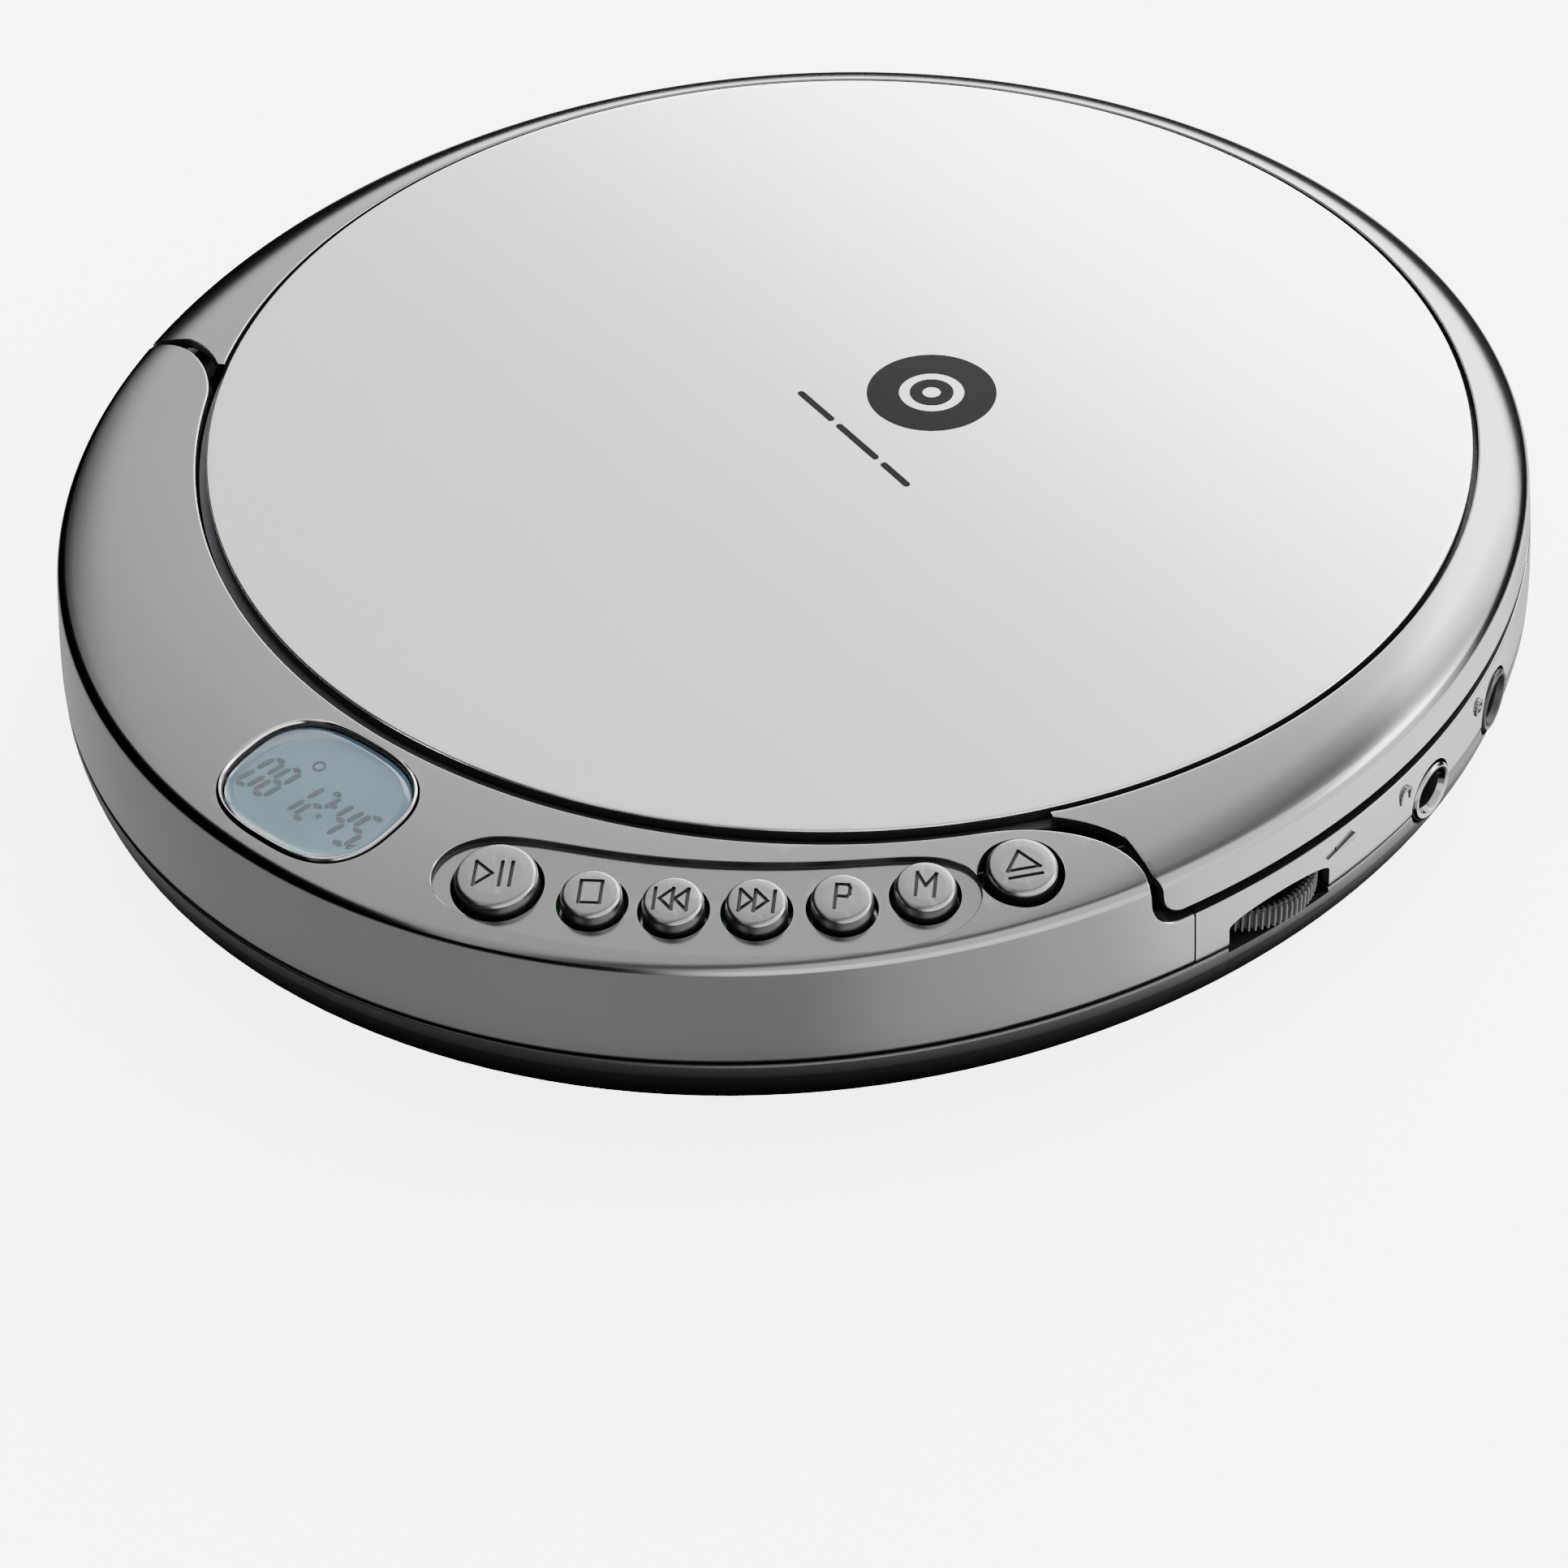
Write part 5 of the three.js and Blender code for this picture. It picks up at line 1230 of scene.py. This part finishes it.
SEGMENTS = {
    "0": "abcdef", "1": "bc", "2": "abged", "4": "fgbc", "5": "afgcd", "8": "abcdefg",
}
SEGMENT_ENDS = {
    "a": ((0, 1), (1, 1)), "b": ((1, 1), (1, 0.5)), "c": ((1, 0.5), (1, 0)), "d": ((0, 0), (1, 0)),
    "e": ((0, 0.5), (0, 0)), "f": ((0, 1), (0, 0.5)), "g": ((0, 0.5), (1, 0.5)),
}
FIGURES = {"text": "08 12:45", "x": -7.4, "y": -2.9, "wide": 1.25, "high": 4.0, "half": 0.26, "slant": 0.22}
FIGURE_PITCH = {" ": 0.9, ":": 0.75}
DIGIT_PITCH = 2.05


def ink(outline_points):
    """A thin printed plate."""
    return stacked(lambda grow: outline_points, [(0, 0), (0, INK)])


def digit(text, x, y):
    """One slanted seven-segment figure as thin plates."""
    half, slant = FIGURES["half"], FIGURES["slant"]
    solids = []
    for name in SEGMENTS[text]:
        (ax, ay), (bx, by) = SEGMENT_ENDS[name]
        a = Vector((ax * FIGURES["wide"], ay * FIGURES["high"]))
        b = Vector((bx * FIGURES["wide"], by * FIGURES["high"]))
        run = (b - a).normalized() * half
        side = Vector((-run.y, run.x))
        a, b = a + run * 0.45, b - run * 0.45
        corners = [a, a + run + side, b - run + side, b, b - run - side, a + run - side]
        solids.append(ink([(x + c.x + c.y * slant, y + c.y) for c in corners]))
    return solids


def figures():
    """The display's figures, with a small ring above them."""
    solids = []
    x = FIGURES["x"]
    for text in FIGURES["text"]:
        if text in SEGMENTS:
            solids += digit(text, x, FIGURES["y"])
        elif text == ":":
            for y in (-1.7, -0.1):
                dot = Matrix.Translation((x + 0.3 + y * FIGURES["slant"], y, 0))
                solids.append(moved(ink(circle(0, 0, 0.28, 16)), dot))
        x += FIGURE_PITCH.get(text, DIGIT_PITCH)
    rows = []
    for outer, inner in zip(circle(-2.6, 2.6, 0.62, 32), circle(-2.6, 2.6, 0.4, 32)):
        rows.append([(*outer, 0), (*outer, INK), (*inner, INK), (*inner, 0)])
    solids.append(lofted(rows))
    return together(*solids)


def add_display():
    place = crescent_frame(DISPLAY["deg"], DISPLAY["r"])
    loop = [
        (0.0, -2.6), (0.0, -0.05), (-0.04, 0.08), (-0.12, 0.14), (-0.2, 0.13), (-0.3, 0.02), (-0.38, -0.3),
        (-0.38, -2.6),
    ]
    steps = 120
    outlines = [squared(grow, steps) for grow, _ in loop]
    rings = []
    for i in range(steps):
        rings.append([(*outlines[j][i], z) for j, (_, z) in enumerate(loop)])
    piece("display_rim", lofted(rings), ["bright_trim"], "case", place, "display_bezel")
    levels = [
        (-0.45, -1.3), (-0.45, -0.6), (-0.5, -0.5), (-1.1, -0.16), (-1.3, -0.1), (-3.0, -0.06), (-6.9, -0.04),
    ]
    piece("display_lens", stacked(squared, levels), ["clear_window"], "case", place, "display_window")
    levels = [(-0.4, -3.6), (-0.4, -1.75), (-0.5, -1.65), (-0.6, DISPLAY_FLOOR)]
    piece("display_panel", stacked(squared, levels), ["display_glass"], "case", place, "display_module")
    turn = place @ Matrix.Translation((0, 0, DISPLAY_FLOOR))
    piece("display_figures", figures(), ["display_ink"], "case", turn)


# ---------------------------------------------------------------- side controls


def add_wheel():
    radius, (z0, z1), ridges = WHEEL["radius"], WHEEL["z"], WHEEL["ridges"]
    step = TAU / ridges
    ridge = [(0.0, 0.42), (0.1, 0.12), (0.2, 0.0), (0.36, 0.0), (0.46, 0.12), (0.56, 0.42), (0.78, 0.46)]

    def outline_at(grow):
        points = []
        for i in range(ridges):
            for share, depth in ridge:
                a = (i + share) * step
                r = radius - depth + grow
                points.append((r * math.cos(a), r * math.sin(a)))
        return points

    levels = [
        (-0.5, z0), (-0.12, z0 + 0.04), (0, z0 + 0.2), (0, z1 - 0.2), (-0.12, z1 - 0.04), (-0.5, z1),
        (-3, z1), (-3.2, z1 - 0.3),
    ]
    # The wheel's flat faces take the flat black ink finish as painted shade inside the slot.
    solid = stacked(outline_at, levels, [0, 0, 0, 0, 0, 1, 1], 1)
    place = side_frame(WHEEL["deg"]) @ Matrix.Translation((0, radius - WHEEL["proud"], 0))
    piece("volume_thumbwheel", solid, ["charcoal_wheel", "lid_print_and_wheel_shade"], "volume_wheel", place, "volume_wheel")
    low, high = 12.2, 17.3
    walls = [
        block(-6.6, 6.6, 1.2, 2.0, low, low + 0.4, 0.1),
        block(-6.8, -6.3, 1.2, 6, low, high, 0.1),
        block(6.3, 6.8, 1.2, 6, low, high, 0.1),
        block(-6.8, 6.8, 1.2, 6, high - 0.4, high, 0.1),
    ]
    piece("wheel_pocket", together(*walls), ["black_plastic"], "case", side_frame(WHEEL["deg"]))


def add_socket(name, socket, slots, pin):
    """A socket on the side wall: a rounded ring, a dark bore and its body inside."""
    ring, bore = socket["ring"], socket["bore"]
    floor, back = 11.5, 12.5
    profile = rounded([
        (bore, floor, 0), (bore, 0.5, 0.15), (bore + 0.35, -0.05, 0.12), (ring - 0.25, -0.15, 0.15),
        (ring, 0.1, 0.15), (ring, back, 0.2), (0, back, 0), (0, floor, 0),
    ], 4)
    turn = socket_frame(socket)
    index = [1 if p[0] <= bore + 0.02 else 0 for p in profile]
    solid = turned(profile[-1:] + profile[:-1], 72, [1] + index[:-2])
    piece(name + "_ring", solid, slots, "case", turn, name)
    body = block(-4.1, 4.1, 3.6, 12.8, socket["z"] - 4, socket["z"] + 2.7, 0.4)
    bore_tool = tool(turned([(0, -3), (ring - 0.2, -3), (ring - 0.2, 12.4), (0, 12.4)], 40), turn)
    piece(name + "_body", body, ["black_plastic"], "case", side_frame(socket["deg"]), tools=[bore_tool])
    if pin:
        shape = rounded([(0, 1.8, 0), (pin, 1.8, 0.3), (pin, floor + 0.1, 0), (0, floor + 0.1, 0)], 4, False)
        piece(name + "_pin", turned(shape, 24), ["nickel"], "case", turn)
    else:
        leaf = block(-0.5, 0.5, -0.12, 0.12, 3, 9, 0.05)
        at_wall = Matrix.Translation((0, bore - 0.1, 0))
        leaves = [moved(leaf, Matrix.Rotation(a, 4, "Z") @ at_wall) for a in (0.6, 2.7, 4.8)]
        piece(name + "_leaves", together(*leaves), ["nickel"], "case", turn)


def mark_frame(deg, x, z):
    """A flat frame that touches the side wall: X along it, Y up and Z out of it."""
    t = math.radians(deg) + x / outline(math.radians(deg))
    step = 1e-3
    yaw = math.atan((outline(t - step) - outline(t + step)) / (2 * step * outline(t)))
    inset = outline(t) - wall_point(t, z)[0]
    turn = Matrix.Rotation(yaw, 4, "Z") @ Matrix.Rotation(math.pi / 2, 4, "X")
    return side_frame(math.degrees(t)) @ Matrix.Translation((0, inset, z)) @ turn


def relief(lines, half=0.12, proud=0.16):
    """Raised lines on the wall."""
    solids = []
    for line in lines:
        for a, b in zip(line, line[1:]):
            points, faces, indices = stroke(a, b, half, 0.4, proud)
            solids.append((points, faces, [0] * len(indices)))
    return together(*solids)


def add_reliefs():
    """Generic signs by the side controls: a wedge, headphones and a ring with a dot."""
    wedge = stacked(lambda grow: [(-1.8, 0), (1.8, 0), (1.8, 0.95)], [(0, -0.4), (0, 0.18)])
    arch = [(0.75 * math.cos(a), 0.75 * math.sin(a)) for a in spread(0, math.pi, 9)]
    phones = [arch, [(0.72, -0.55), (0.72, -0.1)], [(-0.72, -0.55), (-0.72, -0.1)]]
    ring = [[(0.7 * math.cos(a), 0.7 * math.sin(a)) for a in spread(0, TAU, 17)], [(-0.05, 0), (0.05, 0)]]
    places = [
        ("volume_mark", wedge, WHEEL["deg"], 7.4, 16.6),
        ("phones_mark", relief(phones), PHONES["deg"], -4.5, 16.5),
        ("power_mark", relief(ring), POWER["deg"], -4.4, 16.5),
    ]
    for name, solid, deg, x, z in places:
        piece(name, solid, ["silver_lacquer"], "case", mark_frame(deg, x, z))


# ---------------------------------------------------------------- disc bay


def add_tray():
    low, high = DECK
    bed = high - 0.25
    profile = rounded([
        (14.8, low, 0.15), (60.7, low, 0.15), (60.7, 19.6, 0.3), (59.7, 19.6, 0.25), (59.5, 19.15, 0.2),
        (58.2, 19.1, 0.3), (57.8, bed, 0.2), (23.0, bed, 0.2), (22.5, 19.15, 0.2), (15.6, 19.15, 0.3),
        (14.8, 19.0, 0.15),
    ], 3)

    def window(grow):
        half = [(11.5, 2, 1), (11.5, -57, 1.2), (4, -57, 0.8), (4, -59.9, 0.8)]
        corners = [(-x, y, r) for x, y, r in half] + half[::-1]
        grown = []
        for x, y, r in corners:
            grown.append((x + math.copysign(grow, x), y + math.copysign(grow, y), r))
        return rounded(grown, 4)

    levels = [(0, 15), (0, 18.78), (0.06, 18.88), (0.2, bed), (0.42, 19.0), (0.5, 21)]
    window_tool = tool(stacked(window, levels), at_spindle())
    turn = at_spindle() @ Matrix.Rotation(math.radians(OPEN_KEY[1]), 4, "Z")
    hook_tool = tool(block(-2.4, 2.4, -61.2, -57.4, 15, 21, 0.4), turn)
    piece("tray_deck", ring_solid(profile, 180), ["charcoal_tray"], "case", at_spindle(), "disc_tray",
          tools=[window_tool, hook_tool], weighted=True)


def add_hub():
    """The turntable: a flange with a rubber mat, and a centre cone with three sprung balls."""
    seat = DISC_SEAT
    flange = [
        (14, seat - 0.9, 0.4), (14.2, seat - 0.5, 0.2), (14, seat - 0.05, 0.2), (13.2, seat - 0.05, 0.1),
        (13.1, seat - 0.2, 0.05), (9.1, seat - 0.2, 0.05), (9.0, seat - 0.05, 0.1), (8.2, seat - 0.05, 0.1),
        (8.2, seat - 0.3, 0.1),
    ]
    cone = [
        (7.35, seat - 0.3, 0.1), (7.35, seat + 1.2, 0.5), (5.6, 22.6, 0.6), (2.2, 22.8, 0.2),
        (2.0, 22.3, 0.15), (0, 22.3, 0),
    ]
    stem = [(0, 15.25, 0), (1, 15.25, 0.1), (1, 17, 0.1), (3.4, 17, 0.2), (3.4, 18.6, 0.3)]
    profile = rounded(stem + flange + cone, 4, False)
    piece("hub", turned(profile, 96), ["black_plastic"], "turntable", at_spindle(), "turntable")
    mat = rounded([
        (9.15, seat - 0.22, 0.03), (13.05, seat - 0.22, 0.03), (13.05, seat, 0.1), (9.15, seat, 0.1),
    ], 3)
    piece("hub_mat", ring_solid(mat, 96), ["rubber"], "turntable", at_spindle())
    ball = turned([(math.sin(a), -math.cos(a)) for a in spread(0, math.pi, 12)], 20)
    out = 6.75
    balls = []
    for k in range(3):
        a = TAU * (k + 0.25) / 3
        balls.append(moved(ball, Matrix.Translation((out * math.cos(a), out * math.sin(a), seat + 0.95))))
    piece("hub_balls", together(*balls), ["steel"], "turntable", at_spindle())


def add_lens():
    place = at_spindle(0, LENS_Y, 0)
    profile = rounded([
        (0, 16.8, 0), (2.5, 16.8, 0.1), (2.5, 18.1, 0.3), (1.75, 18.15, 0.05), (1.7, 18.05, 0.05),
        (0, 18.05, 0),
    ], 3, False)
    piece("lens_holder", turned(profile, 64), ["black_plastic"], "lens", place, "objective_lens")
    r, rim = 1.62, 18.06
    profile = [(0, 17.9), (1.6, 17.9), (r, rim)]
    profile += [(r * math.cos(a), rim + 0.5 * math.sin(a)) for a in spread(0.1, math.pi / 2, 9)]
    piece("lens_glass_dome", turned(profile, 64), ["lens_glass"], "lens", place)


# ---------------------------------------------------------------- underside


def add_feet():
    pad = rounded([
        (0, 0.06, 0), (1.6, 0.06, 0.1), (1.8, 0.0, 0.1), (3.6, 0.0, 0.25), (4, 0.4, 0.3), (4, 1.1, 0),
        (0, 1.1, 0),
    ], 4, False)
    rim = rounded([(4.1, 0.9, 0.02), (4.6, 0.9, 0.1), (4.7, 1.1, 0), (4.1, 1.1, 0)], 3)
    for i, (x, y) in enumerate(FEET, 1):
        place = at_spindle(x, y)
        piece(f"foot_pad_{i}", turned(pad, 56), ["rubber"], "case", place, f"foot_{i}")
        piece(f"foot_rim_{i}", ring_solid(rim, 56), ["graphite_shell"], "case", place)


def add_screws():
    profile = rounded([
        (0, 1.3, 0), (2.3, 1.45, 0.3), (2.5, 1.9, 0.2), (2.5, 2.9, 0.1), (1.1, 2.9, 0), (1.1, 15.2, 0),
        (0, 16, 0),
    ], 4, False)
    solid = turned(profile, 40)
    for i, (x, y) in enumerate(SCREWS):
        place = at_spindle(x, y) @ Matrix.Rotation(0.5 + i * 1.3, 4, "Z")
        cross = [tool(block(-w, w, -h, h, 0, 2.1), place) for w, h in ((1.4, 0.3), (0.3, 1.4))]
        node = f"case_screw_{i + 1}"
        piece(f"screw_{i + 1}", solid, ["steel"], "case", place, node, tools=cross)


# ---------------------------------------------------------------- carried-over CAD nodes


CARRIED = {
    "cell_wrap": ["aa_cell_1", "aa_cell_2"],
    "nickel": ["battery_bridge_contact", "battery_plus_contact", "battery_minus_contact"],
    "steel": [
        "hinge_pin", "latch_spring", "guide_rod_left", "guide_rod_right", "spindle_motor", "sled_motor",
    ],
    "circuit_board": ["key_board", "main_board"],
    "nylon": ["latch_slider", "drive_gear"],
    "black_plastic": ["volume_potentiometer", "mechanism_chassis", "pickup_sled"],
    "rubber": ["damper_1", "damper_2", "damper_3", "damper_4"],
    "brass": ["motor_pinion"],
}


def dress_cad():
    for slot, names in CARRIED.items():
        for name in names:
            data = nodes[name].data
            data.materials.clear()
            data.materials.append(FINISH[slot])


add_camera()
add_floor()
add_world()
add_top_light()
add_housing()
add_side_panel()
add_bottom()
add_door()
add_lid()
add_hinge()
add_display()
add_keys()
add_wheel()
add_socket("phones_socket", PHONES, ["silver_lacquer", "black_plastic"], 0)
add_socket("power_socket", POWER, ["black_plastic", "black_plastic"], 0.6)
add_reliefs()
add_tray()
add_hub()
add_lens()
add_feet()
add_screws()
dress_cad()
